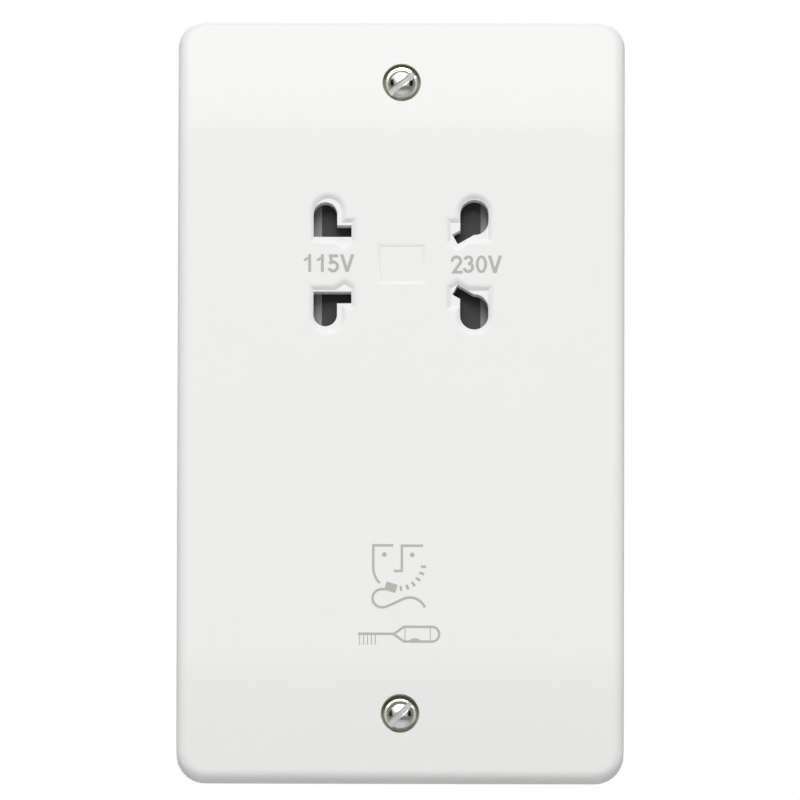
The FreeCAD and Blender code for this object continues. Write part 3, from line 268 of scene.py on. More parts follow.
# %% Moulded grain group
GRAIN_SCALE, PATCH_SCALE = 4000.0, 60.0

grain_group, ends_in, ends_out = start_group(
    "moulded_grain", {"Scale": GRAIN_SCALE, "Patch Scale": PATCH_SCALE}, ["Height", "Tone"]
)
place = add_node(grain_group, "TexCoord").outputs["Object"]
fine = add_node(grain_group, "TexNoise", Detail=2.0, Roughness=0.6)
patches = add_node(grain_group, "TexNoise", Detail=3.0, Roughness=0.5)
for texture, title in ((fine, "Scale"), (patches, "Patch Scale")):
    grain_group.links.new(place, texture.inputs["Vector"])
    grain_group.links.new(ends_in.outputs[title], texture.inputs["Scale"])
grain_group.links.new(fine.outputs["Fac"], ends_out.inputs["Height"])
grain_group.links.new(patches.outputs["Fac"], ends_out.inputs["Tone"])
print("group:", grain_group.name)

# %% Fine lines group
LINE_PITCH = 0.5 * MM

lines_group, ends_in, ends_out = start_group(
    "fine_lines", {"Pitch": LINE_PITCH, "X": 0.0, "Y": 0.0, "Z": 1.0}, ["Height"]
)
place = add_node(lines_group, "TexCoord").outputs["Object"]
axis = add_node(lines_group, "CombineXYZ")
for title in "XYZ":
    lines_group.links.new(ends_in.outputs[title], axis.inputs[title])
along = lines_group.nodes.new("ShaderNodeVectorMath")
along.operation = "DOT_PRODUCT"
lines_group.links.new(place, along.inputs[0])
lines_group.links.new(axis.outputs[0], along.inputs[1])
turns = add_math(lines_group, "DIVIDE", along.outputs["Value"], ends_in.outputs["Pitch"])
wave = add_math(lines_group, "SINE", add_math(lines_group, "MULTIPLY", turns, 2 * math.pi))
raised = add_math(lines_group, "MULTIPLY_ADD", wave, 0.5, 0.5)
lines_group.links.new(raised, ends_out.inputs["Height"])
print("group:", lines_group.name)

# %% [markdown]
# ## The finishes
# Each finish is a Principled shader with one or two of the groups. Its plain numbers are set on the
# shader's own sockets. Only what changes over the surface comes through links: a slight change of tone,
# of shine, and a bump that is a few thousandths of a millimetre high.


# %% Finish helper
RELIEF_HEIGHT = 0.02 * MM


def make_finish(
    name, colour, darker, roughness, metallic=0.0, grain=GRAIN_SCALE, patch=PATCH_SCALE, bump=0.1, spread=0.08
):
    """Makes a finish that drifts from a colour to a darker one, with grain and a drifting shine."""
    finish = bpy.data.materials.new(name)
    finish.use_nodes = True
    tree = finish.node_tree
    shader = tree.nodes["Principled BSDF"]
    shader.inputs["Metallic"].default_value = metallic
    group = tree.nodes.new("ShaderNodeGroup")
    group.node_tree = grain_group
    group.inputs["Scale"].default_value = grain
    group.inputs["Patch Scale"].default_value = patch
    tones = add_mix(tree, group.outputs["Tone"], (*darker, 1), (*colour, 1))
    tree.links.new(tones, shader.inputs["Base Color"])
    shine = add_node(tree, "MapRange", To_Min=roughness - spread, To_Max=roughness + spread)
    tree.links.new(group.outputs["Tone"], shine.inputs["Value"])
    tree.links.new(shine.outputs["Result"], shader.inputs["Roughness"])
    relief = add_node(tree, "Bump", Strength=bump, Distance=RELIEF_HEIGHT)
    tree.links.new(group.outputs["Height"], relief.inputs["Height"])
    tree.links.new(relief.outputs["Normal"], shader.inputs["Normal"])
    return finish


def add_lines(finish, pitch, axis, depth, strength=0.6):
    """Adds fine parallel lines across an axis to a finish, on top of its grain."""
    tree = finish.node_tree
    group = tree.nodes.new("ShaderNodeGroup")
    group.node_tree = lines_group
    group.inputs["Pitch"].default_value = pitch
    for title, value in zip("XYZ", axis):
        group.inputs[title].default_value = value
    relief = add_node(tree, "Bump", Strength=strength, Distance=depth)
    tree.links.new(group.outputs["Height"], relief.inputs["Height"])
    shader = tree.nodes["Principled BSDF"]
    under = shader.inputs["Normal"].links[0].from_socket
    tree.links.new(under, relief.inputs["Normal"])
    tree.links.new(relief.outputs["Normal"], shader.inputs["Normal"])


# %% Plastics
SATIN_MIRROR = 0.21

white_moulding = make_finish(
    "white_moulding", (0.85, 0.85, 0.845), (0.84, 0.84, 0.835), 0.42, bump=0.05, spread=0.03
)
grey_ink = make_finish("grey_ink", (0.45, 0.45, 0.405), (0.42, 0.42, 0.38), 0.5, grain=9000.0, patch=900.0)
dark_moulding = make_finish("dark_moulding", (0.035, 0.037, 0.035), (0.029, 0.031, 0.029), 0.42, grain=6000.0)
for finish in (white_moulding, dark_moulding):
    finish.node_tree.nodes["Principled BSDF"].inputs["Specular IOR Level"].default_value = SATIN_MIRROR
mid_moulding = make_finish("mid_moulding", (0.25, 0.25, 0.26), (0.22, 0.22, 0.23), 0.5)
pale_moulding = make_finish("pale_moulding", (0.60, 0.61, 0.61), (0.56, 0.57, 0.57), 0.48, bump=0.25)
natural_nylon = make_finish("natural_nylon", (0.78, 0.76, 0.70), (0.72, 0.70, 0.63), 0.42)
black_moulding = make_finish("black_moulding", (0.035, 0.035, 0.035), (0.028, 0.028, 0.028), 0.45)
amber_tape = make_finish("amber_tape", (0.80, 0.56, 0.12), (0.74, 0.50, 0.10), 0.28, grain=1500.0)
print("materials with the plastics:", len(bpy.data.materials))


# %% Metals
def make_metal(name, colour, darker, roughness, **others):
    """Makes a finish of bare metal."""
    return make_finish(name, colour, darker, roughness, metallic=1.0, **others)


bright_zinc = make_metal(
    "bright_zinc", (0.80, 0.82, 0.82), (0.72, 0.73, 0.68), 0.14, grain=9000.0, patch=420.0, spread=0.05
)
plain_zinc = make_metal(
    "plain_zinc", (0.66, 0.66, 0.67), (0.58, 0.58, 0.57), 0.3, grain=7000.0, patch=500.0
)
spring_wire = make_metal("spring_wire", (0.60, 0.60, 0.61), (0.5, 0.5, 0.51), 0.25, patch=700.0)
drawn_bronze = make_metal("drawn_bronze", (0.74, 0.47, 0.26), (0.66, 0.40, 0.21), 0.3, patch=300.0)
plain_brass = make_metal("plain_brass", (0.78, 0.60, 0.27), (0.68, 0.50, 0.21), 0.28, patch=260.0)
core_steel = make_metal("core_steel", (0.30, 0.30, 0.32), (0.22, 0.21, 0.22), 0.45, patch=160.0)
wound_copper = make_metal("wound_copper", (0.70, 0.30, 0.14), (0.60, 0.24, 0.10), 0.3, patch=200.0)
add_lines(drawn_bronze, pitch=0.12 * MM, axis=(0.2, 1, 0), depth=0.004 * MM)
add_lines(core_steel, pitch=0.5 * MM, axis=(0, 1, 0), depth=0.12 * MM)
add_lines(wound_copper, pitch=0.3 * MM, axis=(0, 0, 1), depth=0.15 * MM, strength=1.0)
print("materials with the metals:", len(bpy.data.materials))

# %% [markdown]
# ## Painted shade in the screw seats
# Round each screw head is a narrow sunk ring in deep shade, and that shade is painted into the plate's
# colour as a dark olive. It could be painted by hand, but its place is known: the ring lies within a fixed
# distance of each screw's axis. The white finish works that distance out from the place of each point
# and mixes the painted shade in below the mouth.

# %% Painted seat shade
FIXING_Z = 60.3 * MM
SHADE_EDGE, SHADE_FULL = 3.72 * MM, 3.58 * MM
SEAT_BACK = -5.0 * MM
# Dark olive painted shade for the sunk ring round each screw head
SEAT_SHADE = (0.52, 0.51, 0.40, 1)

tree = white_moulding.node_tree
shader = tree.nodes["Principled BSDF"]
where = add_node(tree, "SeparateXYZ")
tree.links.new(add_node(tree, "TexCoord").outputs["Object"], where.inputs[0])
beyond = add_math(tree, "SUBTRACT", add_math(tree, "ABSOLUTE", where.outputs["Z"]), FIXING_Z)
across = add_math(tree, "POWER", where.outputs["X"], 2.0)
apart = add_math(tree, "SQRT", add_math(tree, "ADD", across, add_math(tree, "POWER", beyond, 2.0)))
shade_ramp = add_node(tree, "MapRange", From_Min=SHADE_EDGE, From_Max=SHADE_FULL)
tree.links.new(apart, shade_ramp.inputs["Value"])
sunk = add_math(tree, "LESS_THAN", where.outputs["Y"], SEAT_BACK)
seat_shade_mask = add_math(tree, "MULTIPLY", shade_ramp.outputs["Result"], sunk)
unshaded_colour = shader.inputs["Base Color"].links[0].from_socket
tree.links.new(add_mix(tree, seat_shade_mask, unshaded_colour, SEAT_SHADE), shader.inputs["Base Color"])
print("painted_shade up to", SHADE_EDGE / MM, "mm from the screws")

# %% [markdown]
# ## Helpers for modelling by hand
# An operator works on all that is selected, and the loaded pieces are still selected, so each job starts
# from an empty selection. Edges and faces are then picked in code, by where they are. A finished piece is
# moved to its place and its place is applied, so that its object stays at the origin as the loaded
# pieces' objects do.


# %% Selection helpers
def start_fresh():
    """Goes to object mode with nothing selected."""
    if bpy.context.mode != "OBJECT":
        bpy.ops.object.mode_set(mode="OBJECT")
    bpy.ops.object.select_all(action="DESELECT")


def make_active(piece):
    """Selects one piece alone and makes it the active one."""
    start_fresh()
    piece.select_set(True)
    bpy.context.view_layer.objects.active = piece


def pick(kind, wanted):
    """In edit mode, selects the vertices, edges or faces that pass a test, and no others."""
    bpy.ops.mesh.select_mode(type=kind)
    bpy.ops.mesh.select_all(action="DESELECT")
    mesh = bpy.context.object.data
    form = bmesh.from_edit_mesh(mesh)
    parts = {"VERT": form.verts, "EDGE": form.edges, "FACE": form.faces}[kind]
    for part in parts:
        if wanted(part):
            part.select_set(True)
    form.select_flush_mode()
    bmesh.update_edit_mesh(mesh)


# %% Placing and finishing helpers
def apply_modifier(piece, kind, **settings):
    """Adds a modifier with its settings and applies it."""
    make_active(piece)
    made = piece.modifiers.new(kind.lower(), kind)
    for name, value in settings.items():
        setattr(made, name, value)
    bpy.ops.object.modifier_apply(modifier=made.name)


def set_down(piece, place=(0, 0, 0), turn=(0, 0, 0), scale=1.0):
    """Moves, turns and scales a piece, then puts that into its mesh."""
    make_active(piece)
    piece.location, piece.rotation_euler, piece.scale = place, turn, (scale, scale, scale)
    bpy.ops.object.transform_apply(location=True, rotation=True, scale=True)


def join_pieces(pieces, name):
    """Joins pieces into one with a name."""
    make_active(pieces[0])
    for piece in pieces:
        piece.select_set(True)
    bpy.ops.object.join()
    joined = bpy.context.active_object
    joined.name = name
    joined.data.name = name
    return joined


def finish_piece(piece, body, slot, finish, *nodes):
    """Gives a piece its finish and its body, and hides the frame nodes that it stands for. The slot is not
    used.
    """
    piece.data.materials.clear()
    piece.data.materials.append(finish)
    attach(piece, body)
    if nodes:
        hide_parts(*nodes)
    triangles = sum(len(face.vertices) - 2 for face in piece.data.polygons)
    print(piece.name, "rides on", body, "with", triangles, "triangles")


# %% [markdown]
# ## The plate, with its edges softened
# The plate is one white moulding. A mould can't make a knife edge: the rims of the recesses are rounded,
# the pin holes and screw holes have a tiny radius, and those radii catch the light. The frame's plate has
# the right shape but sharp rims. It could be modelled again from nothing, but then it might drift from
# its size. So a copy of it is merged into one skin, its flat faces are dissolved, and its rims are picked
# by place and bevelled, each by its own radius.

# %% Merged copies
MERGE_GAP = 0.001 * MM
FLAT_TURN = math.radians(0.4)
SHARP_TURN = math.radians(28)


def copy_merged(node, name):
    """Copies a frame piece and merges its triangles into one skin with flat faces."""
    mesh = frame["nodes"][node].data.copy()
    piece = bpy.data.objects.new(name, mesh)
    bpy.context.scene.collection.objects.link(piece)
    mesh.name = name
    make_active(piece)
    bpy.ops.mesh.customdata_custom_splitnormals_clear()
    bpy.ops.object.mode_set(mode="EDIT")
    bpy.ops.mesh.select_all(action="SELECT")
    bpy.ops.mesh.remove_doubles(threshold=MERGE_GAP)
    bpy.ops.mesh.dissolve_limited(angle_limit=FLAT_TURN)
    bpy.ops.object.mode_set(mode="OBJECT")
    return piece


def is_rim(edge):
    """Tells whether an edge is a sharp outer corner."""
    return len(edge.link_faces) == 2 and edge.is_convex and edge.calc_face_angle() > SHARP_TURN


def shade(piece):
    """Shades a piece smooth, with its broad faces kept flat."""
    make_active(piece)
    bpy.ops.object.shade_smooth_by_angle(angle=SHARP_TURN)
    apply_modifier(piece, "WEIGHTED_NORMAL", keep_sharp=True)


# %% Plate
OUTLET_DEPTH = 0.7 * MM
FLAT_REACH = 45 * MM
SINK_RADIUS, SINK_DEPTH = 3.6 * MM, 2 * MM
RIM_RADIUS, HOLE_RADIUS, SINK_ROUNDING = 0.42 * MM, 0.13 * MM, 0.15 * MM
NEAR = 0.01 * MM


def lies_at(edge, depth):
    """Tells whether an edge lies at a depth behind the plate's face, between the bends of its ends."""
    level = plate_front + depth
    return all(abs(end.co.y - level) < NEAR and abs(end.co.z) < FLAT_REACH for end in edge.verts)


def rings_a_fixing(edge):
    """Tells whether an edge lies round the mouth of a sunk screw hole."""
    reach, deepest = SINK_RADIUS + NEAR, plate_front + SINK_DEPTH
    return all(
        math.hypot(end.co.x, abs(end.co.z) - FIXING_Z) < reach and end.co.y < deepest for end in edge.verts
    )


plate = copy_merged("front_plate", "plate_soft_edged")
make_active(plate)
bpy.ops.object.mode_set(mode="EDIT")
pick("EDGE", lambda edge: is_rim(edge) and lies_at(edge, OUTLET_DEPTH))
bpy.ops.mesh.bevel(offset=HOLE_RADIUS, segments=2, affect="EDGES", clamp_overlap=True)
pick("EDGE", lambda edge: is_rim(edge) and lies_at(edge, 0))
bpy.ops.mesh.bevel(offset=RIM_RADIUS, segments=4, affect="EDGES", clamp_overlap=True)
pick("EDGE", lambda edge: is_rim(edge) and rings_a_fixing(edge))
bpy.ops.mesh.bevel(offset=SINK_ROUNDING, segments=3, affect="EDGES", clamp_overlap=True)
shade(plate)
finish_piece(plate, "unit", "plate_plastic", white_moulding, "front_plate")

# %% [markdown]
# ## The other mouldings and the brass
# The shutter, the housing and the three terminals are dressed the same way, but every sharp edge gets one
# radius, so a bevel modifier does it. The shutter's two ramps get painted light: its finish is paler on
# them than on its flat face, and paler still towards their outer ends, where the hole's shade falls. It
# goes from one colour to the other by the distance from its middle.

# %% Shutter finish with painted light on the ramps
RAMP_START, RAMP_FULL, RAMP_END = 15.0 * MM, 15.12 * MM, 16.6 * MM
# Painted light on the ramps: paler than the flat face, and paler outward to cancel the hole's shade
RAMP_LIGHT_GREYS = ((0.0, 0.32), (1.0, 0.55))

ramp_lit_moulding = dark_moulding.copy()
ramp_lit_moulding.name = "ramp_lit_moulding"
tree = ramp_lit_moulding.node_tree
shader = tree.nodes["Principled BSDF"]
across = add_node(tree, "SeparateXYZ")
tree.links.new(add_node(tree, "TexCoord").outputs["Object"], across.inputs[0])
distance = add_math(tree, "ABSOLUTE", across.outputs["X"])
lit_ramp_mask = add_node(tree, "MapRange", From_Min=RAMP_START, From_Max=RAMP_FULL)
outward_light = add_node(tree, "MapRange", From_Min=RAMP_FULL, From_Max=RAMP_END)
for part in (lit_ramp_mask, outward_light):
    tree.links.new(distance, part.inputs["Value"])
unlit_colour = shader.inputs["Base Color"].links[0].from_socket
ramp_light_colour = add_ramp(tree, outward_light.outputs["Result"], RAMP_LIGHT_GREYS)
ramp_lit_colour = add_mix(tree, lit_ramp_mask.outputs["Result"], unlit_colour, ramp_light_colour)
tree.links.new(ramp_lit_colour, shader.inputs["Base Color"])
print("material:", ramp_lit_moulding.name)


# %% Shutter, housing and terminals
SHUTTER_ROUNDING, OTHER_ROUNDING = 0.12 * MM, 0.15 * MM


def round_edges(piece, radius):
    """Rounds all the sharp edges of a piece."""
    apply_modifier(piece, "BEVEL", width=radius, segments=2, limit_method="ANGLE", angle_limit=SHARP_TURN)


def soften(node, name, radius):
    """Copies a frame piece and rounds all its sharp edges."""
    piece = copy_merged(node, name)
    round_edges(piece, radius)
    shade(piece)
    return piece


shutter = soften("shutter", "shutter_soft_edged", SHUTTER_ROUNDING)
finish_piece(shutter, "slider", "shutter_plastic", ramp_lit_moulding, "shutter")
housing = soften("rear_housing", "housing_soft_edged", OTHER_ROUNDING)
finish_piece(housing, "unit", "housing_plastic", pale_moulding, "rear_housing")
for node in ("live_terminal", "earth_terminal", "neutral_terminal"):
    terminal = soften(node, node + "_soft_edged", OTHER_ROUNDING)
    finish_piece(terminal, "unit", "terminal_brass", plain_brass, node)

# %% [markdown]
# ## The screws
# All the screws are turned, slotted and rolled. The model follows the same three steps. A circle is
# extruded and scaled from ring to ring, as a lathe would cut it. A bar is taken away from the head with a
# Boolean for the slot. A small triangle carried up a Screw modifier is the thread. Each kind is made
# once, standing upright in millimetres, and then copied to its places.


# %% Lathe, slot and thread
POINT = 0.05


def turn_on_lathe(profile, corners=56):
    """Makes a round piece from (radius, height) rings, by extruding and scaling a circle."""
    start_fresh()
    radius, height = profile[0]
    bpy.ops.mesh.primitive_circle_add(
        vertices=corners, radius=radius, enter_editmode=True, location=(0, 0, 0)
    )
    bpy.ops.transform.translate(value=(0, 0, height))
    for next_radius, next_height in profile[1:]:
        bpy.ops.mesh.extrude_edges_move(TRANSFORM_OT_translate={"value": (0, 0, next_height - height)})
        share = next_radius / radius
        bpy.ops.transform.resize(value=(share, share, 1), center_override=(0, 0, next_height))
        radius, height = next_radius, next_height
    bpy.ops.mesh.select_all(action="SELECT")
    bpy.ops.mesh.fill_holes(sides=corners)
    bpy.ops.mesh.select_all(action="SELECT")
    bpy.ops.mesh.normals_make_consistent(inside=False)
    piece = bpy.context.active_object
    start_fresh()
    return piece


def cut_slot(piece, width, floor, length=10.0, height=4.0):
    """Takes a bar along X away from the top of a piece, down to a floor, and rounds all its edges."""
    start_fresh()
    bpy.ops.mesh.primitive_cube_add(size=1, enter_editmode=True, location=(0, 0, 0))
    bpy.ops.transform.resize(value=(length, width, height))
    bpy.ops.transform.translate(value=(0, 0, floor + height / 2))
    bar = bpy.context.active_object
    start_fresh()
    apply_modifier(piece, "BOOLEAN", operation="DIFFERENCE", object=bar, solver="EXACT")
    bpy.data.objects.remove(bar)
    round_edges(piece, width / 14)


def roll_thread(crest, pitch, low, high):
    """Makes the winding ridge of a thread between two heights."""
    start_fresh()
    tooth = pitch / 3
    bpy.ops.mesh.primitive_circle_add(vertices=3, radius=tooth, enter_editmode=True, location=(0, 0, 0))
    bpy.ops.transform.rotate(value=math.pi / 2, orient_axis="Z", center_override=(0, 0, 0))
    bpy.ops.transform.rotate(value=math.pi / 2, orient_axis="X", center_override=(0, 0, 0))
    bpy.ops.transform.translate(value=(crest - tooth, 0, low + tooth))
    ridge = bpy.context.active_object
    start_fresh()
    turns = math.floor((high - low - 2 * tooth) / pitch)
    apply_modifier(ridge, "SCREW", screw_offset=pitch, iterations=turns, steps=20, render_steps=20, axis="Z")
    make_active(ridge)
    bpy.ops.object.mode_set(mode="EDIT")
    bpy.ops.mesh.select_all(action="SELECT")
    bpy.ops.mesh.fill_holes(sides=3)
    bpy.ops.mesh.select_all(action="SELECT")
    bpy.ops.mesh.normals_make_consistent(inside=False)
    start_fresh()
    return ridge


def copy_to(piece, place, turn):
    """Copies a piece with its own mesh and sets it down, from millimetres, at a place with a turn."""
    twin = piece.copy()
    twin.data = piece.data.copy()
    bpy.context.scene.collection.objects.link(twin)
    set_down(twin, place, turn, MM)
    return twin


# %% Fixing screws
HEAD_RADIUS, HEAD_DOME, RIM_HEIGHT = 3.05, 0.95, 0.22
DOME_RADIUS, DOME_RINGS = 2.58, 9
NECK_RADIUS, TIP_TAPER, TIP_LENGTH = 1.5, 0.3, 0.4
THREAD_RADIUS, THREAD_PITCH, THREAD_START = 1.75, 0.6, 0.3
FIXING_SLOT, FIXING_SLOT_FLOOR = 1.1, -0.05
TOP_ANGLE, BOTTOM_ANGLE = math.radians(39), math.radians(46)

screw_low, screw_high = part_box("fixing_screws")
rim_y = screw_low.y + HEAD_DOME * MM
neck_height = NECK_RADIUS - HEAD_RADIUS
tip_height = (rim_y - screw_high.y) / MM
dome_rise = HEAD_DOME - RIM_HEIGHT
ball = (DOME_RADIUS**2 + dome_rise**2) / (2 * dome_rise)
profile = [
    (NECK_RADIUS - TIP_TAPER, tip_height),
    (NECK_RADIUS, tip_height + TIP_LENGTH),
    (NECK_RADIUS, neck_height),
    (HEAD_RADIUS, 0.0),
    (HEAD_RADIUS, RIM_HEIGHT),
    (DOME_RADIUS, RIM_HEIGHT),
]
for ring in range(1, DOME_RINGS + 1):
    radius = DOME_RADIUS * (1 - ring / (DOME_RINGS + 1))
    profile.append((radius, HEAD_DOME - ball + math.sqrt(ball**2 - radius**2)))
profile.append((POINT, HEAD_DOME))
blank = turn_on_lathe(profile)
cut_slot(blank, FIXING_SLOT, FIXING_SLOT_FLOOR)
thread = roll_thread(THREAD_RADIUS, THREAD_PITCH, tip_height + THREAD_START, rim_y / MM)
pattern = join_pieces([blank, thread], "fixing_screw_pattern")
fixings = [
    copy_to(pattern, (0, rim_y, side * FIXING_Z), (math.pi / 2, -angle, 0))
    for side, angle in ((1, TOP_ANGLE), (-1, BOTTOM_ANGLE))
]
bpy.data.objects.remove(pattern)
fixings = join_pieces(fixings, "fixing_screws_turned")
shade(fixings)
finish_piece(fixings, "unit", "fixing_steel", bright_zinc, "fixing_screws")

# %% Pan head screws
PAN_RADIUS, PAN_HEIGHT, PAN_SIDE = 2.6, 1.8, 1.0
PAN_CROWN = [(2.45, 1.36), (2.1, 1.6), (1.5, 1.74), (0.8, 1.79), (POINT, PAN_HEIGHT)]
PAN_SLOT, PAN_SLOT_FLOOR = 0.85, 0.9
PAN_TAPER, PAN_TIP, PAN_THREAD_START, PAN_THREAD_END = 0.2, 0.3, 0.2, -0.4
PAN_TURN = math.radians(37)


def pan_head_screws(node, name, places, shank_radius, pitch):
    """Makes a pan head screw that faces the wall and copies it to its places, each slot at its own turn."""
    low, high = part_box(node)
    seat_y = high.y - PAN_HEIGHT * MM
    reach = (low.y - seat_y) / MM
    root = shank_radius - pitch / 2
    shank = [(root - PAN_TAPER, reach), (root, reach + PAN_TIP), (root, 0.0)]
    blank = turn_on_lathe(shank + [(PAN_RADIUS, 0.0), (PAN_RADIUS, PAN_SIDE)] + PAN_CROWN)
    cut_slot(blank, PAN_SLOT, PAN_SLOT_FLOOR)
    thread = roll_thread(shank_radius, pitch, reach + PAN_THREAD_START, PAN_THREAD_END)
    pattern = join_pieces([blank, thread], name)
    copies = []
    for count, (x, z) in enumerate(places):
        copies.append(copy_to(pattern, (x, seat_y, z), (-math.pi / 2, PAN_TURN * count, 0)))
    bpy.data.objects.remove(pattern)
    screws = join_pieces(copies, name)
    shade(screws)
    finish_piece(screws, "unit", "screw_steel", plain_zinc, node)


terminal_low, terminal_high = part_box("terminal_screws")
terminal_z = (terminal_low.z + terminal_high.z) / 2
outer_x = terminal_high.x - PAN_RADIUS * MM
terminal_places = [(x, terminal_z) for x in (-outer_x, 0, outer_x)]
pan_head_screws("terminal_screws", "terminal_screws_turned", terminal_places, shank_radius=1.5, pitch=0.5)
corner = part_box("assembly_screws")[1]
corner_x, corner_z = corner.x - PAN_RADIUS * MM, corner.z - PAN_RADIUS * MM
assembly_places = [(x, z) for x in (-corner_x, corner_x) for z in (-corner_z, corner_z)]
pan_head_screws("assembly_screws", "assembly_screws_turned", assembly_places, shank_radius=1.2, pitch=0.6)

# %% [markdown]
# ## A broad pen for the printed marks
# The marks on the plate are printed in grey ink: two voltages and two small signs. They could be text,
# but the built in letters don't look like these. They are drawn instead with a broad pen. The pen is one
# edge of a flat strip: extruding that edge draws a straight line, spinning it round a point draws an arc,
# and turning it half way before a new line makes a clean corner. Without a window, turning and spinning
# run the other way round, so their angles are given with a minus sign. The marks are drawn lying down, in
# millimetres, and stood up on the plate.

# %% Pen
ARC_STEP = math.radians(9)
PEN_TOUCH = 1e-4


def start_line(length, width):
    """Starts a strip along X from the origin and leaves its far edge, the pen, selected."""
    start_fresh()
    bpy.ops.mesh.primitive_plane_add(size=1, enter_editmode=True, location=(0, 0, 0))
    bpy.ops.transform.resize(value=(length, width, 1))
    bpy.ops.transform.translate(value=(length / 2, 0, 0))
    pick("EDGE", lambda edge: min(end.co.x for end in edge.verts) > length - PEN_TOUCH)


def swing_pen(tip, angle, stretch):
    """Turns the pen about its middle and makes it longer or shorter."""
    bpy.ops.transform.rotate(value=-angle, orient_axis="Z", center_override=(tip.x, tip.y, 0))
    bpy.ops.transform.resize(value=(stretch, stretch, stretch), center_override=(tip.x, tip.y, 0))


def draw_line(start, heading, width, *moves):
    """Draws a line from a point. A move is a length to go, ("turn", angle), ("arc", radius, angle) or
    ("slide", across, up), which moves the pen without turning it. Angles are in degrees, to the left."""
    start_line(moves[0], width)
    tip, course, half_turn = Vector((moves[0], 0, 0)), 0.0, 0.0
    for move in moves[1:]:
        if isinstance(move, (int, float)):
            step = Vector((math.cos(course), math.sin(course), 0)) * move
            bpy.ops.mesh.extrude_edges_move(TRANSFORM_OT_translate={"value": step})
            tip = tip + step
            swing_pen(tip, half_turn, math.cos(half_turn))
            half_turn = 0.0
        elif move[0] == "turn":
            half_turn = math.radians(move[1]) / 2
            swing_pen(tip, half_turn, 1 / math.cos(half_turn))
            course += 2 * half_turn
        elif move[0] == "slide":
            step = Quaternion((0, 0, 1), -math.radians(heading)) @ Vector((move[1], move[2], 0))
            bpy.ops.mesh.extrude_edges_move(TRANSFORM_OT_translate={"value": step})
            tip = tip + step
        else:
            radius, angle = move[1], math.radians(move[2])
            side = math.copysign(1, angle)
            middle = tip + Vector((-math.sin(course), math.cos(course), 0)) * radius * side
            steps = max(2, round(abs(angle) / ARC_STEP))
            bpy.ops.mesh.spin(steps=steps, angle=-angle, center=middle, axis=(0, 0, 1))
            tip = middle + Quaternion((0, 0, 1), angle) @ (tip - middle)
            course += angle
    line = bpy.context.active_object
    start_fresh()
    set_down(line, (*start, 0), (0, 0, math.radians(heading)))
    return line


# %% Dots, rings and standing the marks up
INK_THICKNESS = 0.03
INK_STEP = 0.003


def draw_ring(middle, outer, inner, corners=48):
    """Draws a flat ring from its outer and inner half sizes, or a dot if the inner ones are zero."""
    start_fresh()
    bpy.ops.mesh.primitive_circle_add(vertices=corners, radius=1, enter_editmode=True, location=(0, 0, 0))
    bpy.ops.transform.resize(value=(*outer, 1))
    bpy.ops.mesh.extrude_edges_move(TRANSFORM_OT_translate={"value": (0, 0, 0)})
    bpy.ops.transform.resize(value=(inner[0] / outer[0], inner[1] / outer[1], 1))
    bpy.ops.mesh.select_all(action="SELECT")
    bpy.ops.mesh.remove_doubles(threshold=PEN_TOUCH)
    ring = bpy.context.active_object
    start_fresh()
    set_down(ring, (*middle, 0))
    return ring


def draw_hump(middle, half_width, height):
    """Draws the upper half of a flat oval."""
    hump = draw_ring((0, 0), (half_width, height), (0, 0), corners=32)
    make_active(hump)
    bpy.ops.object.mode_set(mode="EDIT")
    bpy.ops.mesh.select_all(action="SELECT")
    bpy.ops.mesh.bisect(plane_co=(0, 0, 0), plane_no=(0, 1, 0), clear_inner=True)
    start_fresh()
    set_down(hump, (*middle, 0))
    return hump


def raise_mark(lines, name, thickness):
    """Joins drawn lines into a mark and gives it a thickness. Each line lies a little higher than the
    one before, so that crossing lines don't share a surface."""
    for count, line in enumerate(lines):
        set_down(line, (0, 0, INK_STEP * count))
    mark = join_pieces(lines, name)
    bpy.ops.object.mode_set(mode="EDIT")
    bpy.ops.mesh.select_all(action="SELECT")
    bpy.ops.mesh.remove_doubles(threshold=PEN_TOUCH)
    pick("FACE", lambda face: face.normal.z < 0)
    bpy.ops.mesh.flip_normals()
    start_fresh()
    apply_modifier(mark, "SOLIDIFY", thickness=thickness, offset=1.0)
    return mark


def print_mark(lines, name):
    """Stands a mark on the plate's face, in grey ink."""
    mark = raise_mark(lines, name, INK_THICKNESS)
    set_down(mark, (0, plate_front, 0), (math.pi / 2, 0, 0), MM)
    finish_piece(mark, "unit", "plate_plastic", grey_ink)


# %% [markdown]
# ## The voltage marks
# Between the pin holes of each outlet stands its voltage in a bold upright letter without serifs. Each
# figure is one or two pen lines, measured from the foot of the figure on its left.

# %% Figures
CAP_HEIGHT = 3.35
PEN = 0.56
FLAT_PEN, SLANT_PEN = PEN * 0.86, PEN * 1.12


def figure_one(left, foot, width=1.42):
    """Upright stem with a short flag."""
    stem_x = left + width - PEN / 2
    flag_rise = 0.62
    flag = draw_line((left + 0.1, foot + CAP_HEIGHT - PEN - flag_rise), 32, FLAT_PEN, width - FLAT_PEN)
    stem = draw_line((stem_x, foot), 90, PEN, CAP_HEIGHT)
    return [flag, stem]


def figure_two(left, foot):
    """Round head, slanting neck and flat base."""
    head = 0.80
    start = (left + PEN / 2, foot + CAP_HEIGHT - PEN / 2 - head - 0.1)
    return [draw_line(start, 90, PEN, 0.1, ("arc", head, -215), 2.02, ("turn", 125), 1.66)]


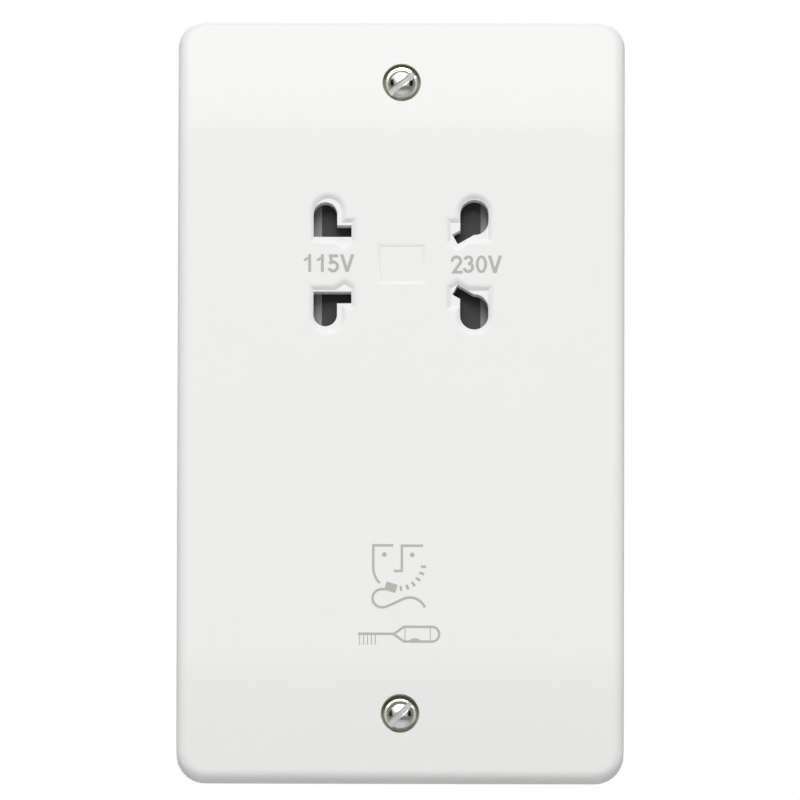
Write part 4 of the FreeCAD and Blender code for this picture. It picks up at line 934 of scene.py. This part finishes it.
def figure_three(left, foot):
    """Two bowls open to the left."""
    upper, lower = 0.66, 0.80
    middle_x = left + 0.94
    upper_z, lower_z = foot + CAP_HEIGHT - PEN / 2 - upper, foot + PEN / 2 + lower
    lead = 0.06
    lines = []
    for radius, middle_z, first, sweep in ((upper, upper_z, 165, -255), (lower, lower_z, 90, -255)):
        angle, heading = math.radians(first), math.radians(first - 90)
        start_x = middle_x + radius * math.cos(angle) - lead * math.cos(heading)
        start_z = middle_z + radius * math.sin(angle) - lead * math.sin(heading)
        lines.append(draw_line((start_x, start_z), first - 90, PEN, lead, ("arc", radius, sweep), lead))
    return lines


def figure_five(left, foot):
    """Flag and neck, then a bowl open to the left."""
    bowl = 0.86
    flag = draw_line((left + 1.93, foot + CAP_HEIGHT - PEN / 2), 180, PEN, 1.42, ("turn", 98), 1.36)
    start = (left + 0.29, foot + 1.56)
    return [flag, draw_line(start, 42, PEN, 0.16, ("arc", bowl, -290))]


def figure_nought(left, foot, width=2.16):
    """Upright oval ring."""
    outer = (width / 2, CAP_HEIGHT / 2)
    inner = (outer[0] - PEN, outer[1] - FLAT_PEN)
    return [draw_ring((left + outer[0], foot + outer[1]), outer, inner)]


def letter_v(left, foot, width=2.68):
    """Two slanting lines with level ends, drawn by sliding the pen."""
    lead = 0.02
    across = (width - SLANT_PEN) / 2
    top = foot + CAP_HEIGHT
    lines = []
    for start, step in ((left + SLANT_PEN / 2, across), (left + width - SLANT_PEN / 2, -across)):
        lines.append(draw_line((start, top), -90, SLANT_PEN, lead, ("slide", step, lead - CAP_HEIGHT)))
    return lines


# %% Low and high voltage marks
LOW_FOOT, HIGH_FOOT = 23.85, 23.70
LOW_FIGURES = ((figure_one, -18.50), (figure_one, -16.10), (figure_five, -13.92), (letter_v, -11.60))
HIGH_FIGURES = ((figure_two, 9.38), (figure_three, 11.78), (figure_nought, 14.12), (letter_v, 16.42))

for name, foot, figures in (("mark_115v", LOW_FOOT, LOW_FIGURES), ("mark_230v", HIGH_FOOT, HIGH_FIGURES)):
    lines = []
    for figure, left in figures:
        lines += figure(left, foot)
    print_mark(lines, name)

# %% [markdown]
# ## The shaver sign
# Low on the plate is the usual sign for a shaver outlet: half a face in straight lines, a shaver at its
# chin with its cord below, and short dashes where the beard is still to go. The dashes are one line
# repeated round an arc.

# %% Shaver sign
SIGN_PEN = 0.46
BEARD_MIDDLE = Vector((-0.44, -32.2))
BEARD_FIRST, BEARD_STEP, BEARD_COUNT = -83, 16, 6
BEARD_NEAR, BEARD_DRIFT, BEARD_LENGTH = 3.95, 0.07, 0.95
EYE = (0.44, 0.44)

face = [
    draw_line((-1.35, -28.39), 180, SIGN_PEN, 3.8, ("turn", 90), 4.2, ("arc", 4.35, 44)),
    draw_line((4.26, -28.45), 180, SIGN_PEN, 4.0, ("turn", 90), 4.8, ("turn", -90), 1.5),
    draw_ring((-3.05, -30.15), EYE, (0, 0), corners=24),
    draw_ring((2.22, -30.19), EYE, (0, 0), corners=24),
]
shaver = [
    draw_line((-2.85, -36.06), -16.9, 1.62, 2.2),
    draw_line(
        (-2.95, -36.76), 180, SIGN_PEN, 0.6, ("arc", 1.72, 180), ("arc", 3.0, 25), 3.1, ("arc", 3.03, -93)
    ),
]
for count in range(BEARD_COUNT):
    angle = BEARD_FIRST + BEARD_STEP * count
    near = BEARD_NEAR + BEARD_DRIFT * count
    spoke = Vector((math.cos(math.radians(angle)), math.sin(math.radians(angle))))
    shaver.append(draw_line(BEARD_MIDDLE + spoke * near, angle, SIGN_PEN, BEARD_LENGTH))
print_mark(face + shaver, "sign_shaver")

# %% [markdown]
# ## The toothbrush sign
# Under it is a toothbrush with a powered handle. One pen line goes along the handle, round the body and
# back, and five thin lines are the bristles.

# %% Toothbrush sign
BRUSH_Z = -45.26
THIN_PEN = 0.17
BODY_FOOT, BODY_HEIGHT = -46.72, 2.8
BRISTLES, BRISTLE_FIRST, BRISTLE_GAP, BRISTLE_LENGTH = 5, -7.7, 0.745, 2.12
HANDLE = (6.81, ("turn", 36.5), 2.25, ("turn", -36.5), 5.31, ("arc", 1.4, -180), 5.36)

brush = [
    draw_line((-7.96, BRUSH_Z), 0, SIGN_PEN, *HANDLE),
    draw_line((0.66, BODY_FOOT), 144, SIGN_PEN, 2.48),
    draw_line((0.90, BODY_FOOT), 90, THIN_PEN, BODY_HEIGHT),
    draw_line((5.67, BODY_FOOT), 90, THIN_PEN, BODY_HEIGHT),
    draw_hump((2.76, BODY_FOOT), 1.1, 0.62),
]
for count in range(BRISTLES):
    left = BRISTLE_FIRST + BRISTLE_GAP * count
    brush.append(draw_line((left, BRUSH_Z), -90, THIN_PEN, BRISTLE_LENGTH))
print_mark(brush, "sign_toothbrush")

# %% [markdown]
# ## The terminal marks
# On the back of the housing a raised sign under each terminal tells the electrician which wire goes
# where: L for live, N for neutral and three bars for earth. The same pen draws them. They are turned half
# round, so that they read rightly from behind, and they are part of the housing's moulding.

# %% Terminal marks
RAISED, RAISED_PEN, RAISED_HEIGHT, RAISED_WIDTH = 0.4, 0.6, 4.0, 2.6
MARK_DROP = 15.0
EARTH_BARS = (1.2, 0.8, 0.4)
HOUSING_BACK = 22.0 * MM

foot = terminal_z / MM - MARK_DROP - RAISED_HEIGHT
outer = outer_x / MM
half = RAISED_WIDTH / 2
top = foot + RAISED_HEIGHT
lines = [draw_line((outer - half, top), -90, RAISED_PEN, RAISED_HEIGHT, ("turn", 90), RAISED_WIDTH)]
for side in (-half, half):
    lines.append(draw_line((side - outer, foot), 90, RAISED_PEN, RAISED_HEIGHT))
slant = math.degrees(math.atan2(RAISED_HEIGHT, RAISED_WIDTH))
diagonal = math.hypot(RAISED_WIDTH, RAISED_HEIGHT)
lines.append(draw_line((-outer - half, top), -slant, RAISED_PEN, diagonal))
lines.append(draw_line((0, top), -90, RAISED_PEN, RAISED_HEIGHT / 2))
for bar, share in enumerate(EARTH_BARS):
    reach = half * share
    lines.append(draw_line((-reach, foot + (2 - bar) * RAISED_HEIGHT / 4), 0, RAISED_PEN, 2 * reach))
mark = raise_mark(lines, "terminal_marks", RAISED)
set_down(mark, (0, HOUSING_BACK, 0), (math.pi / 2, 0, math.pi), MM)
finish_piece(mark, "unit", "housing_plastic", pale_moulding)

# %% [markdown]
# ## The pieces inside
# The contacts, the switch, the spring and the transformer are hidden in the housing, and the frame's own
# shapes are fine enough for them. Each gets the finish of its material, found by the name of its slot.

# %% Finishes by slot
FINISHES = {
    "plate_plastic": white_moulding,
    "fixing_steel": bright_zinc,
    "shutter_plastic": ramp_lit_moulding,
    "carrier_plastic": mid_moulding,
    "housing_plastic": pale_moulding,
    "spring_steel": spring_wire,
    "contact_bronze": drawn_bronze,
    "terminal_brass": plain_brass,
    "screw_steel": plain_zinc,
    "core_steel": core_steel,
    "bobbin_plastic": natural_nylon,
    "winding_copper": wound_copper,
    "tape_film": amber_tape,
    "cutout_plastic": black_moulding,
}

for subpart in frame["record"]["subparts"]:
    mesh = frame["nodes"][subpart["node"]].data
    mesh.materials.clear()
    mesh.materials.append(FINISHES[subpart["material_slot"]])
